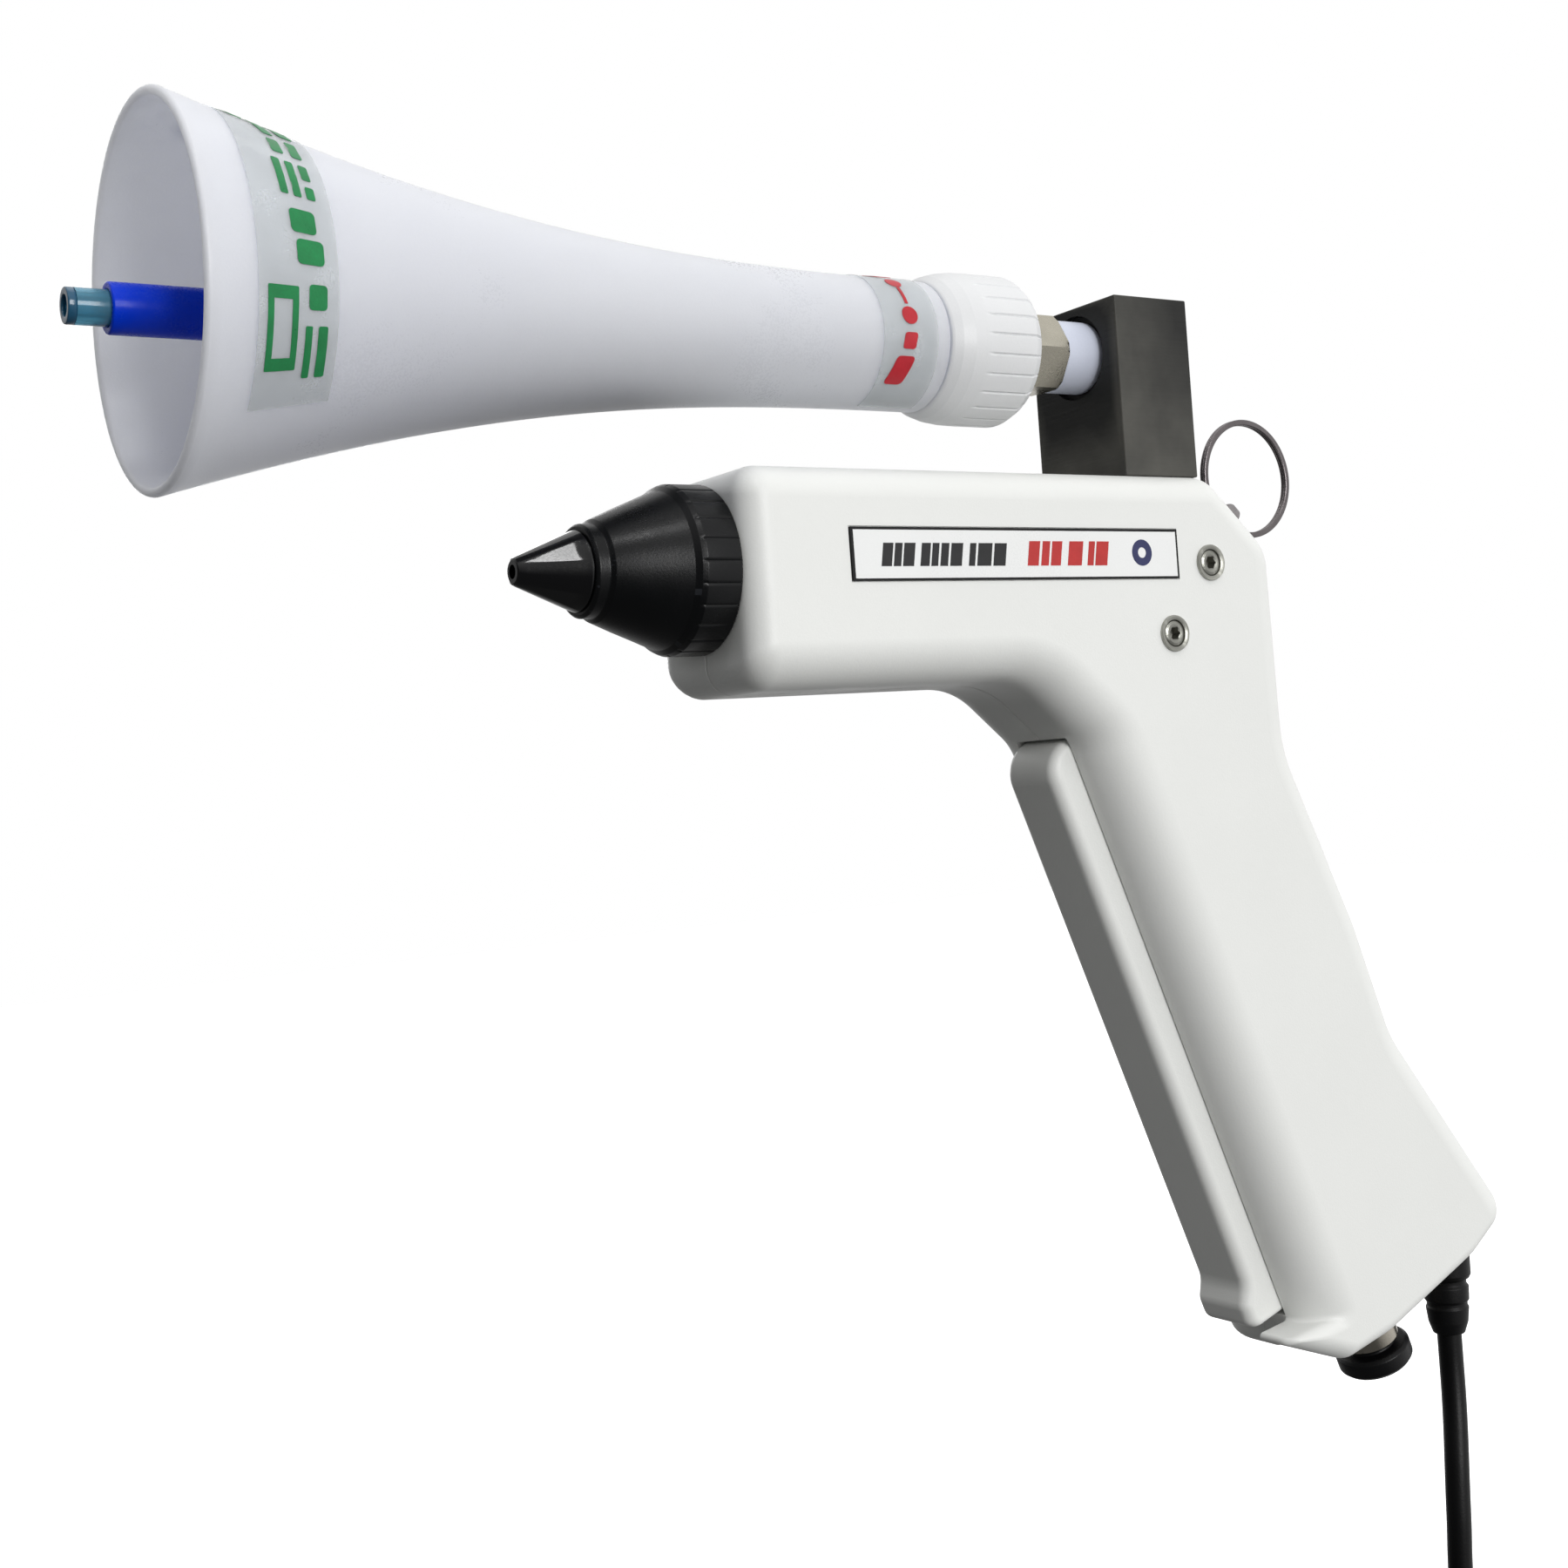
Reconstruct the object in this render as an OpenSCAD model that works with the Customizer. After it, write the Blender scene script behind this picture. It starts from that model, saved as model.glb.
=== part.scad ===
// Ionising air gun with a vortex horn: pistol body, paddle trigger, black nose
// cone, and a flared horn with a spinning whip tube on a riser block above it.
// Millimetres. Origin at the centre of the hand grip, nose towards -X, +Z up.

/* [Body] */
// body width across the grip
body_w = 34; // [30:0.5:40]
// height of the flat top of the barrel above the grip centre
top_z = 104.5; // [100:0.5:110]
// height of the barrel's underside
under_z = 66; // [60:0.5:70]
// front face of the barrel
front_x = -121.5; // [-130:0.5:-110]
// shell wall thickness
wall = 2.6; // [2:0.1:3.5]

/* [Nose] */
// height of the nose axis
nose_z = 88; // [84:0.5:92]
// radius of the nose ring
nose_r = 14.8; // [13:0.1:16]

/* [Horn] */
// height of the horn axis
horn_z = 129.7; // [125:0.1:135]
// outer radius of the horn mouth
mouth_r = 30; // [25:0.5:38]
// outer radius of the horn neck
neck_r = 12; // [10:0.5:14]
// wall thickness of the horn
horn_wall = 1.6; // [1.2:0.1:2.5]

/* [Trigger] */
// trigger width
trig_w = 14.4; // [12:0.1:16]
// how far the trigger stands proud of the grip
proud = 6.4; // [4:0.1:9]

/* [Cord] */
// cord diameter
cord_d = 5.2; // [4:0.1:7]
// mean radius of the stored coil
coil_r = 29; // [26:1:32]

/* [Hidden] */
hw = body_w / 2;
mouth_x = -213.4;
neck_x = -72;
// grip axes: down the grip and into the grip
gd = [0.3624, -0.932];
gn = [0.932, 0.3624];
g0 = [-46.8, 53.5];
function grip(s, t) = g0 + s * gd + t * gn;
piv = grip(8, 7);
sweep_r = 119.3;
air_t = 25.3;
valve_s = 75;
switch_s = 27;
tube_r = 3;
riser_x0 = -31.8;
riser_x1 = -12.9;
riser_z = 139.5;
mast_x = -22.3;
gland_x = 52.3;
gland_y = -4;
coil_c = [11.5, -2.4, -180];
strand = 5.3;
ring_c = [13.05, 106.72];
ring_r = 11.8;
eye_c = [5.26, 97.86];
cup_a = [-16, 87];
cup_b = [-26.8, 73.4];
screw_posts = [[-114, 71.8], [-40, 98], [10, -48], [2.6, 31]];

// outline corners, counter-clockwise: x, z, corner radius, edge rounding of
// the side that follows
outline = [
    [front_x, under_z, 5, 8],
    [-60.5, under_z, 18, 9],
    [-47.2, 54.5, 10, 10.5],
    [-0.3, -66, 0.9, 2.5],
    [-10.6, -67.4, 0.8, 4],
    [7.4, -74.3, 3.5, 3],
    [21, -71.2, 20, 3],
    [47.7, -60.4, 14, 3],
    [60.9, -51.4, 4, 7.5],
    [30, -10.5, 22, 7.5],
    [21.4, 13.4, 34, 7.5],
    [4.6, 50, 26, 7.5],
    [3.8, 89.6, 9, 6],
    [-12.4, top_z, 7, 6],
    [front_x, top_z, 5, 5]
];
// the same outline without the lip under the trigger, for the hollow
hollow = concat([for (i = [0:2]) outline[i]], [[2.9, -74.2, 4, 3]],
    [for (i = [6:14]) outline[i]]);

function left_of(a, b) = let (d = b - a) [-d[1], d[0]] / norm(d);
function inset(e, s) = s >= e ? 0 : e - sqrt(e * e - (e - s) * (e - s));
function flat2(v) = [v[0], v[1]];
function at(c, i) = c[(i + len(c)) % len(c)];
function cross2(a, b) = a[0] * b[1] - a[1] * b[0];
// corner i moved in by da off the side before it and db off the side after it
function moved(c, i, da, db) =
    let (p = flat2(at(c, i)))
    let (na = left_of(flat2(at(c, i - 1)), p))
    let (nb = left_of(p, flat2(at(c, i + 1))))
    let (k = cross2(na, nb))
    p + [da * nb[1] - db * na[1], na[0] * db - nb[0] * da] / k;
function insets(c, s, d) = [for (q = c) d + inset(q[3], s)];
// corners of the outline s below the side face, then d further in
function corners(c, s, d) =
    let (m = insets(c, s, d))
    [for (i = [0:len(c) - 1]) moved(c, i, at(m, i - 1), m[i])];
// one rounded corner as k + 1 points
function round_at(a, p, b, r, k, shift) =
    let (u = (p - a) / norm(p - a))
    let (v = (b - p) / norm(b - p))
    let (side = cross2(u, v) > 0 ? 1 : -1)
    let (q = max(0.3, r - side * shift))
    let (phi = acos(min(1, u * v)))
    let (tl = q * tan(phi / 2))
    let (n = side * [-u[1], u[0]])
    let (o = p - tl * u + q * n)
    let (a0 = atan2(-n[1], -n[0]))
    [for (j = [0:k]) o + q * [cos(a0 + side * phi * j / k), sin(a0 + side * phi * j / k)]];
function ring2(c, s, d, k) =
    let (m = insets(c, s, d))
    let (p = corners(c, s, d))
    [for (i = [0:len(c) - 1])
        each round_at(at(p, i - 1), p[i], at(p, i + 1), c[i][2], k, min(at(m, i - 1), m[i]))];
function at_y(pts, y) = [for (p = pts) [p[0], y, p[1]]];

// a flat outline cut into triangles, one ear at a time
function area3(a, b, c) = cross2(b - a, c - a);
function inside3(p, a, b, c) = area3(a, b, p) >= 0 && area3(b, c, p) >= 0 && area3(c, a, p) >= 0;
function is_ear(c, ix, k) =
    let (n = len(ix))
    let (i = (k + n - 1) % n)
    let (j = (k + 1) % n)
    area3(c[ix[i]], c[ix[k]], c[ix[j]]) > 0 && len([for (q = [0:n - 1])
        if (q != i && q != j && q != k && inside3(c[ix[q]], c[ix[i]], c[ix[k]], c[ix[j]])) q]) == 0;
function ear_from(c, ix, k) = is_ear(c, ix, k % len(ix)) ? k % len(ix) : ear_from(c, ix, k + 1);
function ears(c, ix, k) =
    len(ix) == 3 ? [ix] :
    let (n = len(ix))
    let (e = ear_from(c, ix, k))
    concat([[ix[(e + n - 1) % n], ix[e], ix[(e + 1) % n]]],
        ears(c, [for (q = [0:n - 1]) if (q != e) ix[q]], e + 1));
function cap(ring, first) =
    let (c = [for (p = ring) [p[0], p[2]]])
    [for (t = ears(c, [for (i = [0:len(c) - 1]) i], 0)) [for (q = t) first + q]];
function flipped(f) = [for (q = f) [for (i = [len(q) - 1:-1:0]) q[i]]];

// a solid through equal-length rings of points, ring after ring
module loft(rings, upright = false) {
    n = len(rings[0]);
    m = len(rings);
    pts = [for (r = rings) each r];
    low = upright ? cap(rings[0], 0) : [[for (i = [0:n - 1]) i]];
    high = upright ? flipped(cap(rings[m - 1], (m - 1) * n))
        : [[for (i = [n - 1:-1:0]) (m - 1) * n + i]];
    side = [for (j = [0:m - 2]) for (i = [0:n - 1])
        each [[j * n + i, (j + 1) * n + i, (j + 1) * n + (i + 1) % n],
              [j * n + i, (j + 1) * n + (i + 1) % n, j * n + (i + 1) % n]]];
    polyhedron(points = pts, faces = flipped(concat(low, side, high)), convexity = 8);
}

// a round tube body swept along route points
function unit(v) = v / norm(v);
function bent(p, t) =
    let (n = len(p))
    let (i = min(n - 2, floor(t)))
    let (f = t - i)
    let (a = p[max(0, i - 1)])
    let (b = p[i])
    let (c = p[i + 1])
    let (d = p[min(n - 1, i + 2)])
    0.5 * (2 * b + (c - a) * f + (2 * a - 5 * b + 4 * c - d) * f * f
        + (3 * b - 3 * c + d - a) * f * f * f);
function turned(v, r, k, side) =
    let (x = unit(cross(side, v)))
    let (y = cross(v, x))
    [for (j = [0:k - 1]) r * (cos(360 * j / k) * x + sin(360 * j / k) * y)];
module sweep(route, r, k, each_seg, side) {
    n = (len(route) - 1) * each_seg;
    ln = [for (i = [0:n]) bent(route, i / each_seg)];
    dirs = [for (i = [0:n]) unit(ln[min(n, i + 1)] - ln[max(0, i - 1)])];
    loft([for (i = [0:n]) [for (o = turned(dirs[i], r, k, side)) ln[i] + o]]);
}

// a solid of revolution about a line along X at height z: points are [radius, x]
module about_x(z, pts, y = 0) {
    translate([0, y, z]) rotate([0, 90, 0]) rotate_extrude($fn = 96) polygon(pts);
}
// the same about a line down the grip: points are [radius, distance down]
module about_grip(t, pts) {
    o = grip(0, t);
    translate([o[0], 0, o[1]]) rotate([0, 180 - atan2(gd[0], -gd[1]), 0])
        rotate_extrude($fn = 64) polygon(pts);
}
// the same about a line into the grip: points are [radius, depth]
module about_depth(s, pts) {
    o = grip(s, 0);
    translate([o[0], 0, o[1]]) rotate([0, atan2(gn[0], gn[1]), 0])
        rotate_extrude($fn = 64) polygon(pts);
}
module rod_y(p, r, y0, y1) {
    translate([p[0], y1, p[1]]) rotate([90, 0, 0]) cylinder(r = r, h = y1 - y0, $fn = 48);
}
module slab(pts, y0, y1) {
    translate([0, y1, 0]) rotate([90, 0, 0]) linear_extrude(height = y1 - y0) polygon(pts);
}
module block(a, b) {
    translate(a) cube(b - a);
}

// ---- shells ----
depths = [0, 0.2, 0.75, 1.6, 2.8, 4.3, 6.2, 8.4, 10.5];
module half_solid(sgn) {
    around = sgn < 0 ? outline : hollow;
    face = at_y(ring2(around, 0, 0, 6), sgn * (hw + 1));
    rings = [for (s = depths) at_y(ring2(around, s, 0, 6), sgn * (hw - s))];
    mid = at_y(ring2(around, hw, 0, 6), -sgn);
    all = concat([face], rings, [mid]);
    m = len(all);
    intersection() {
        loft(sgn < 0 ? all : [for (i = [0:m - 1]) all[m - 1 - i]], true);
        block([-150, sgn < 0 ? -hw : 0, -100], [80, sgn < 0 ? 0 : hw, 130]);
    }
}
module slot_cut() {
    intersection() {
        slab([grip(-1.6, -12), grip(140, -12), grip(140, 16), grip(-1.6, 16)], -7.5, 7.5);
        rod_y(piv, sweep_r, -8, 8);
    }
}
module half_cuts(sgn) {
    y0 = sgn < 0 ? -9 : -0.1;
    y1 = sgn < 0 ? 0.1 : 9;
    slab(ring2(hollow, hw, wall, 4), y0, y1);
    slab(ring2(hollow, hw, wall + 3.2, 4), sgn < 0 ? 2.6 - hw : -0.1, sgn < 0 ? 0.1 : hw - 2.6);
    slot_cut();
    slab([[-20, -60], [-20, -80], [2.9, -80], [2.9, -74.2], [-2.6, -60]], -7.5, 7.5);
    about_x(nose_z, [[0, front_x - 2], [11.6, front_x - 2], [11.6, front_x + 6], [0, front_x + 6]]);
    translate([mast_x, 0, 98]) cylinder(r = 5.02, h = 10, $fn = 48);
    translate([mast_x, sgn * 7.5, 98]) cylinder(r = 2.2, h = 10, $fn = 32);
    about_grip(air_t, [[0, 128], [5.6, 128], [5.6, 145], [0, 145]]);
    about_grip(air_t, [[0, 139.8], [7.1, 139.8], [7.1, 150], [0, 150]]);
    translate([gland_x, gland_y, -72]) cylinder(r = 4.3, h = 22.1, $fn = 48);
    translate([gland_x, gland_y, -52.3]) cylinder(r = 5.2, h = 2.4, $fn = 48);
    lug_block(0.02);
}
module shell_boss(p, sgn) {
    rod_y(p, 4, sgn < 0 ? 1.6 - hw : 0, sgn < 0 ? 0 : hw - 1.6);
}
module left_body_shell() {
    color([0.89, 0.895, 0.885])
    difference() {
        union() {
            difference() {
                half_solid(-1);
                half_cuts(-1);
            }
            for (p = screw_posts) shell_boss(p, -1);
            rod_y(piv, 3.6, 1.6 - hw, -7.7);
        }
        for (p = screw_posts) rod_y(p, 1.25, -10, 0.1);
        rod_y(piv, 1.5, -11, 0);
        rod_y(cup_a, 3.0, -hw - 1, -11);
        rod_y(cup_b, 3.0, -hw - 1, -11);
        block([-101.3, -hw - 1, 83.8], [-24.3, -hw + 0.35, 93.6]);
    }
}
module right_body_shell() {
    color([0.89, 0.895, 0.885])
    difference() {
        union() {
            difference() {
                half_solid(1);
                half_cuts(1);
            }
            for (p = screw_posts) shell_boss(p, 1);
            rod_y(piv, 3.6, 7.7, hw - 1.6);
        }
        for (p = screw_posts) rod_y(p, 1.6, -0.1, hw + 1);
        for (p = screw_posts) rod_y(p, 3, hw - 5, hw + 1);
        rod_y(piv, 1.5, 0, 11);
    }
}
module shell_screws() {
    color([0.55, 0.55, 0.54])
    for (p = screw_posts) difference() {
        union() {
            rod_y(p, 1.25, -9.5, hw - 5.1);
            rod_y(p, 2.7, hw - 5, hw - 2.6);
            rod_y(p, 1.25, hw - 5.2, hw - 4.9);
        }
        block([p[0] - 2, hw - 3.5, p[1] - 0.4], [p[0] + 2, hw, p[1] + 0.4]);
        block([p[0] - 0.4, hw - 3.5, p[1] - 2], [p[0] + 0.4, hw, p[1] + 2]);
    }
}
module name_plate() {
    color([0.96, 0.96, 0.96])
    block([-101.1, -hw - 0.25, 84], [-24.5, -hw + 0.35, 93.4]);
}
module cup_at(p) {
    difference() {
        rod_y(p, 3.5, -hw - 0.6, -hw);
        rod_y(p, 2.55, -hw - 1, -hw + 1);
    }
    difference() {
        rod_y(p, 2.98, -hw, -11.4);
        rod_y(p, 2.6, -hw - 1, -13.4);
        rod_y(p, 1.7, -hw - 1, -11);
    }
}
module screw_cups() {
    color([0.6, 0.6, 0.58]) {
        cup_at(cup_a);
        cup_at(cup_b);
    }
}
module cap_screw(p) {
    difference() {
        union() {
            rod_y(p, 2.5, -hw - 0.4, -13.5);
            rod_y(p, 1.6, -13.6, -5.5);
        }
        translate([p[0], -hw + 1.6, p[1]]) rotate([90, 0, 0])
            cylinder(r = 1.45, h = 4, $fn = 6);
    }
}
module body_screws() {
    color([0.5, 0.5, 0.49]) {
        cap_screw(cup_a);
        cap_screw(cup_b);
    }
}

// ---- trigger ----
trig_outline = [
    [-0.8, -proud, 6.4, 3.2],
    [116.6, -proud, 5, 3.2],
    [120.2, -proud - 2.3, 3.2, 3.2],
    [125.5, -proud - 2.3, 2.4, 1.2],
    [126.5, 4, 0.5, 0.2],
    [18, 4, 2, 0.2],
    [15, 11.4, 4, 0.2],
    [2.4, 11.4, 1.5, 0.2],
    [-0.8, 5, 2, 2.6]
];
trig_depths = [0, 0.25, 0.8, 1.6, 2.4, 3.2];
function to_grip(pts) = [for (p = pts) grip(p[0], p[1])];
module trigger() {
    half = [for (s = trig_depths) at_y(to_grip(ring2(trig_outline, s, 0, 6)), s - trig_w / 2)];
    n = len(half);
    back = [for (i = [n - 1:-1:0]) [for (p = half[i]) [p[0], -p[1], p[2]]]];
    color([0.9, 0.905, 0.895])
    difference() {
        loft(concat(half, back), true);
        rod_y(piv, 1.56, -9, 9);
        slab([grip(30, -proud + 2.4), grip(115, -proud + 2.4), grip(115, 2.2), grip(30, 2.2)], -5, 5);
    }
}
module trigger_pin() {
    color([0.62, 0.62, 0.62])
    rod_y(piv, 1.5, -10.9, 10.9);
}

// ---- air valve in the grip ----
module valve_body() {
    color([0.72, 0.6, 0.32])
    difference() {
        about_depth(valve_s, [[2.28, 12.5], [6, 12.5], [6, 16], [8, 16], [8, 40], [5.6, 40],
            [5.6, 19.5], [2.28, 19.5]]);
        about_grip(air_t, [[0, valve_s - 12], [tube_r + 0.02, valve_s - 12],
            [tube_r + 0.02, valve_s + 12], [0, valve_s + 12]]);
    }
}
module valve_end_cap() {
    color([0.66, 0.55, 0.3])
    about_depth(valve_s, [[0, 40], [8, 40], [8, 42.5], [3, 42.5], [3, 44], [0, 44]]);
}
module valve_stem() {
    color([0.75, 0.74, 0.72])
    about_depth(valve_s, [[0, 4.15], [2, 4.15], [2.2, 4.4], [2.2, 21.2], [4.6, 21.2], [4.6, 23],
        [1.8, 23], [1.8, 29], [0, 29]]);
}
module valve_seal() {
    color([0.08, 0.08, 0.08])
    about_depth(valve_s, [[2.22, 19.9], [4.4, 19.9], [4.4, 21.15], [2.22, 21.15]]);
}
function coil_pts(s, r, t0, t1, turns) = [for (i = [0:turns * 12])
    let (a = i * 30)
    let (t = t0 + (t1 - t0) * i / (turns * 12))
    let (o = grip(s + r * cos(a), t))
    [o[0], r * sin(a), o[1]]];
module valve_spring() {
    color([0.7, 0.7, 0.7])
    sweep(coil_pts(valve_s, 3.6, 23.6, 34.6, 5), 0.4, 6, 1, [gn[0], 0.02, gn[1]]);
}
module grip_tube(s0, s1) {
    about_grip(air_t, [[2, s0], [tube_r, s0], [tube_r, s1], [2, s1]]);
}
module supply_tube() {
    color([0.1, 0.1, 0.1]) grip_tube(valve_s + 6.4, 131);
}
module delivery_tube() {
    color([0.1, 0.1, 0.1]) grip_tube(-12, valve_s - 6.4);
}
module microswitch() {
    color([0.12, 0.12, 0.13])
    difference() {
        slab([grip(20.5, 6.4), grip(34, 6.4), grip(34, 14), grip(20.5, 14)], -3.2, 3.2);
        about_depth(switch_s, [[0, 5], [1.06, 5], [1.06, 10.5], [0, 10.5]]);
    }
}
module switch_button() {
    color([0.75, 0.12, 0.1])
    about_depth(switch_s, [[0, 4.15], [1, 4.15], [1, 9], [0, 9]]);
}

// ---- air inlet ----
module inlet_fitting() {
    o = grip(139.9, air_t);
    color([0.74, 0.73, 0.7])
    difference() {
        union() {
            about_grip(air_t, [[0, 131], [5.5, 131], [5.5, 141], [0, 141]]);
            translate([o[0], 0, o[1]]) rotate([0, 180 - atan2(gd[0], -gd[1]), 0])
                cylinder(r = 7, h = 7, $fn = 6);
            about_grip(air_t, [[0, 146.5], [6.4, 146.5], [6.4, 150.4], [0, 150.4]]);
        }
        about_grip(air_t, [[0, 130], [2.5, 130], [2.5, 134], [0, 134]]);
        about_grip(air_t, [[0, 133.9], [4.05, 133.9], [4.05, 151], [0, 151]]);
        about_grip(air_t, [[4, 140], [5.3, 140], [5.3, 142.4], [4, 142.4]]);
        about_grip(air_t, [[0, 146], [5.1, 146], [5.1, 151], [0, 151]]);
    }
}
module inlet_seal() {
    color([0.05, 0.05, 0.05])
    about_grip(air_t, [[4.1, 140.05], [5.28, 140.05], [5.28, 142.35], [4.1, 142.35]]);
}
module release_ring() {
    color([0.04, 0.04, 0.045])
    about_grip(air_t, [[4.05, 147.6], [5.0, 147.6], [5.0, 151.8], [7.4, 151.8], [8, 152.4],
        [8, 155.4], [7.2, 156.2], [4.6, 156.2], [4.05, 155.7]]);
}

// ---- manifold and riser ----
module air_manifold() {
    color([0.72, 0.73, 0.74])
    difference() {
        union() {
            block([-34, -10.9, 69], [-9, 10.9, 91.5]);
            block([-34, -8.8, 91.4], [-14.5, 8.8, 101]);
            translate([mast_x, 0, 101]) cylinder(r = 5, h = top_z - 101, $fn = 48);
        }
        translate([mast_x, 0, 80]) cylinder(r = 2.6, h = 30, $fn = 32);
        about_x(nose_z, [[0, -35], [tube_r + 0.02, -35], [tube_r + 0.02, -29], [2, -29],
            [2, -20], [0, -20]]);
        about_grip(air_t, [[0, -30], [2, -30], [2, -13], [tube_r + 0.02, -13],
            [tube_r + 0.02, 5], [0, 5]]);
        rod_y(cup_a, 1.6, -12, -5.4);
        rod_y(cup_b, 1.6, -12, -5.4);
        for (s = [-7.5, 7.5]) translate([mast_x, s, 92]) cylinder(r = 2, h = 12, $fn = 32);
    }
}
module nose_tube() {
    color([0.1, 0.1, 0.1])
    about_x(nose_z, [[2, -117.5], [tube_r, -117.5], [tube_r, -29], [2, -29]]);
}
module riser_block() {
    color([0.16, 0.155, 0.145])
    difference() {
        block([riser_x0, -12.45, top_z], [riser_x1, 12.45, riser_z]);
        translate([mast_x, 0, top_z - 1]) cylinder(r = 2.6, h = horn_z - top_z + 1, $fn = 32);
        about_x(horn_z, [[0, riser_x0 - 1], [8.2, riser_x0 - 1], [8.2, riser_x0 + 1.5],
            [4.9, riser_x0 + 1.5], [4.9, -24], [2.6, -24], [2.6, -20], [0, -20]]);
        for (s = [-7.5, 7.5]) translate([mast_x, s, top_z - 1]) cylinder(r = 2.2, h = 40, $fn = 32);
        for (s = [-7.5, 7.5]) translate([mast_x, s, riser_z - 4.2]) cylinder(r = 3.7, h = 5, $fn = 32);
    }
}
module block_screws() {
    color([0.12, 0.12, 0.12])
    for (s = [-7.5, 7.5]) translate([mast_x, s, 0]) difference() {
        union() {
            translate([0, 0, riser_z - 4.2]) cylinder(r = 3.5, h = 4, $fn = 48);
            translate([0, 0, 92.5]) cylinder(r = 2, h = riser_z - 4.2 - 92.5 + 0.1, $fn = 32);
        }
        translate([0, 0, riser_z - 2.6]) cylinder(r = 1.73, h = 4, $fn = 6);
    }
}
module spacer_sleeve() {
    color([0.8, 0.82, 0.87])
    about_x(horn_z, [[4.9, -39.5], [6.6, -39.5], [7, -39.1], [7, -30.3], [4.9, -30.3]]);
}
module hex_nipple() {
    color([0.62, 0.61, 0.57])
    difference() {
        union() {
            translate([-50.9, 0, horn_z]) rotate([0, 90, 0]) rotate([0, 0, 30])
                cylinder(r = 8.08, h = 11.4, $fn = 6);
            about_x(horn_z, [[0, -39.6], [4.85, -39.6], [4.85, -24.2], [0, -24.2]]);
            about_x(horn_z, [[0, -56], [4.85, -56], [4.85, -50.8], [0, -50.8]]);
        }
        about_x(horn_z, [[0, -60], [2.5, -60], [2.5, -20], [0, -20]]);
    }
}

// ---- horn ----
function horn_at(s) = neck_r + (mouth_r - neck_r) * (s <= 0 ? 0 : pow(s, 2.9 - 0.6 * s));
function horn_x(s) = neck_x + (mouth_x - neck_x) * s;
horn_n = 22;
horn_out = [for (i = [0:horn_n]) [horn_at(i / horn_n), horn_x(i / horn_n)]];
horn_in = [for (i = [horn_n:-1:0])
    [horn_at(i / horn_n) - horn_wall, horn_x(i / horn_n)]];
module vortex_horn() {
    color([0.85, 0.86, 0.9])
    about_x(horn_z, concat([[11, -54.6], [11, neck_x + 0.4]], horn_out,
        [[mouth_r - 0.35, mouth_x - 0.55], [mouth_r - horn_wall + 0.35, mouth_x - 0.55]],
        horn_in, [[9.6, neck_x + 1], [9.6, -54.6]]));
}
module collar_nut() {
    ribs = 44;
    color([0.865, 0.87, 0.875])
    difference() {
        about_x(horn_z, [[11.05, -71.55], [12.1, -71.55], [13, -70.4], [13.8, -66.5], [14.1, -64],
            [14.1, -52.4], [12.6, -50.9], [4.9, -50.9], [4.9, -53.4], [11.05, -53.4]]);
        for (i = [0:ribs - 1])
            translate([0, 0, horn_z]) rotate([360 * i / ribs, 0, 0])
                translate([-62.5, 0, 14.25]) rotate([0, 90, 0]) cylinder(r = 0.4, h = 13, $fn = 4);
    }
}
module horn_bush() {
    color([0.7, 0.55, 0.3])
    about_x(horn_z, [[5.05, -69.5], [9.55, -69.5], [9.55, -59.5], [5.05, -59.5]]);
}
module rotor_hub() {
    color([0.55, 0.56, 0.58])
    difference() {
        union() {
            about_x(horn_z, [[0, -73.4], [7.6, -73.4], [7.6, -69.8], [5, -69.8], [5, -59.2],
                [0, -59.2]]);
            about_x(horn_z - 2.4, [[0, -80], [4.4, -80], [4.8, -79.4], [4.8, -73], [0, -73]]);
            about_x(horn_z, [[0, -59.3], [6.6, -59.3], [6.6, -57.4], [0, -57.4]]);
        }
        about_x(horn_z, [[0, -76], [1.6, -76], [1.6, -57], [0, -57]]);
        about_x(horn_z - 2.4, [[0, -81], [2.76, -81], [2.76, -75], [1.5, -75], [1.5, -72],
            [0, -72]]);
    }
}
module whip_tube() {
    color([0.4, 0.65, 0.73])
    about_x(horn_z - 2.4, [[1.6, -224.6], [2.75, -224.6], [2.75, -75.1], [1.6, -75.1]]);
}
module whip_sleeve() {
    color([0.0, 0.15, 0.63])
    about_x(horn_z - 2.4, [[2.77, -219.8], [3.7, -219.8], [3.9, -219.5], [3.9, -80.2],
        [2.77, -80.2]]);
}
module whip_end_ring() {
    color([0.16, 0.35, 0.47])
    about_x(horn_z - 2.4, [[1.6, -225.9], [2.6, -225.9], [2.75, -225.6], [2.75, -224.6],
        [1.6, -224.6]]);
}
// thin films lying on the horn's skin
function film(s0, s1, k) = concat(
    [for (i = [0:k]) [horn_at(s0 + (s1 - s0) * i / k) + 0.04, horn_x(s0 + (s1 - s0) * i / k)]],
    [for (i = [k:-1:0]) [horn_at(s0 + (s1 - s0) * i / k) + 0.22, horn_x(s0 + (s1 - s0) * i / k)]]);
module film_band(s0, s1, k, a0, a1) {
    translate([0, 0, horn_z]) rotate([a0, 0, 0]) rotate([0, 90, 0])
        rotate_extrude(angle = a1, $fn = 96) polygon(film(s0, s1, k));
}
module mouth_label() {
    color([0.82, 0.88, 0.86])
    film_band(0.856, 0.948, 4, 170, 148);
}
module neck_label() {
    color([0.84, 0.85, 0.86])
    film_band(0.02, 0.105, 3, 175, 175);
}

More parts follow.
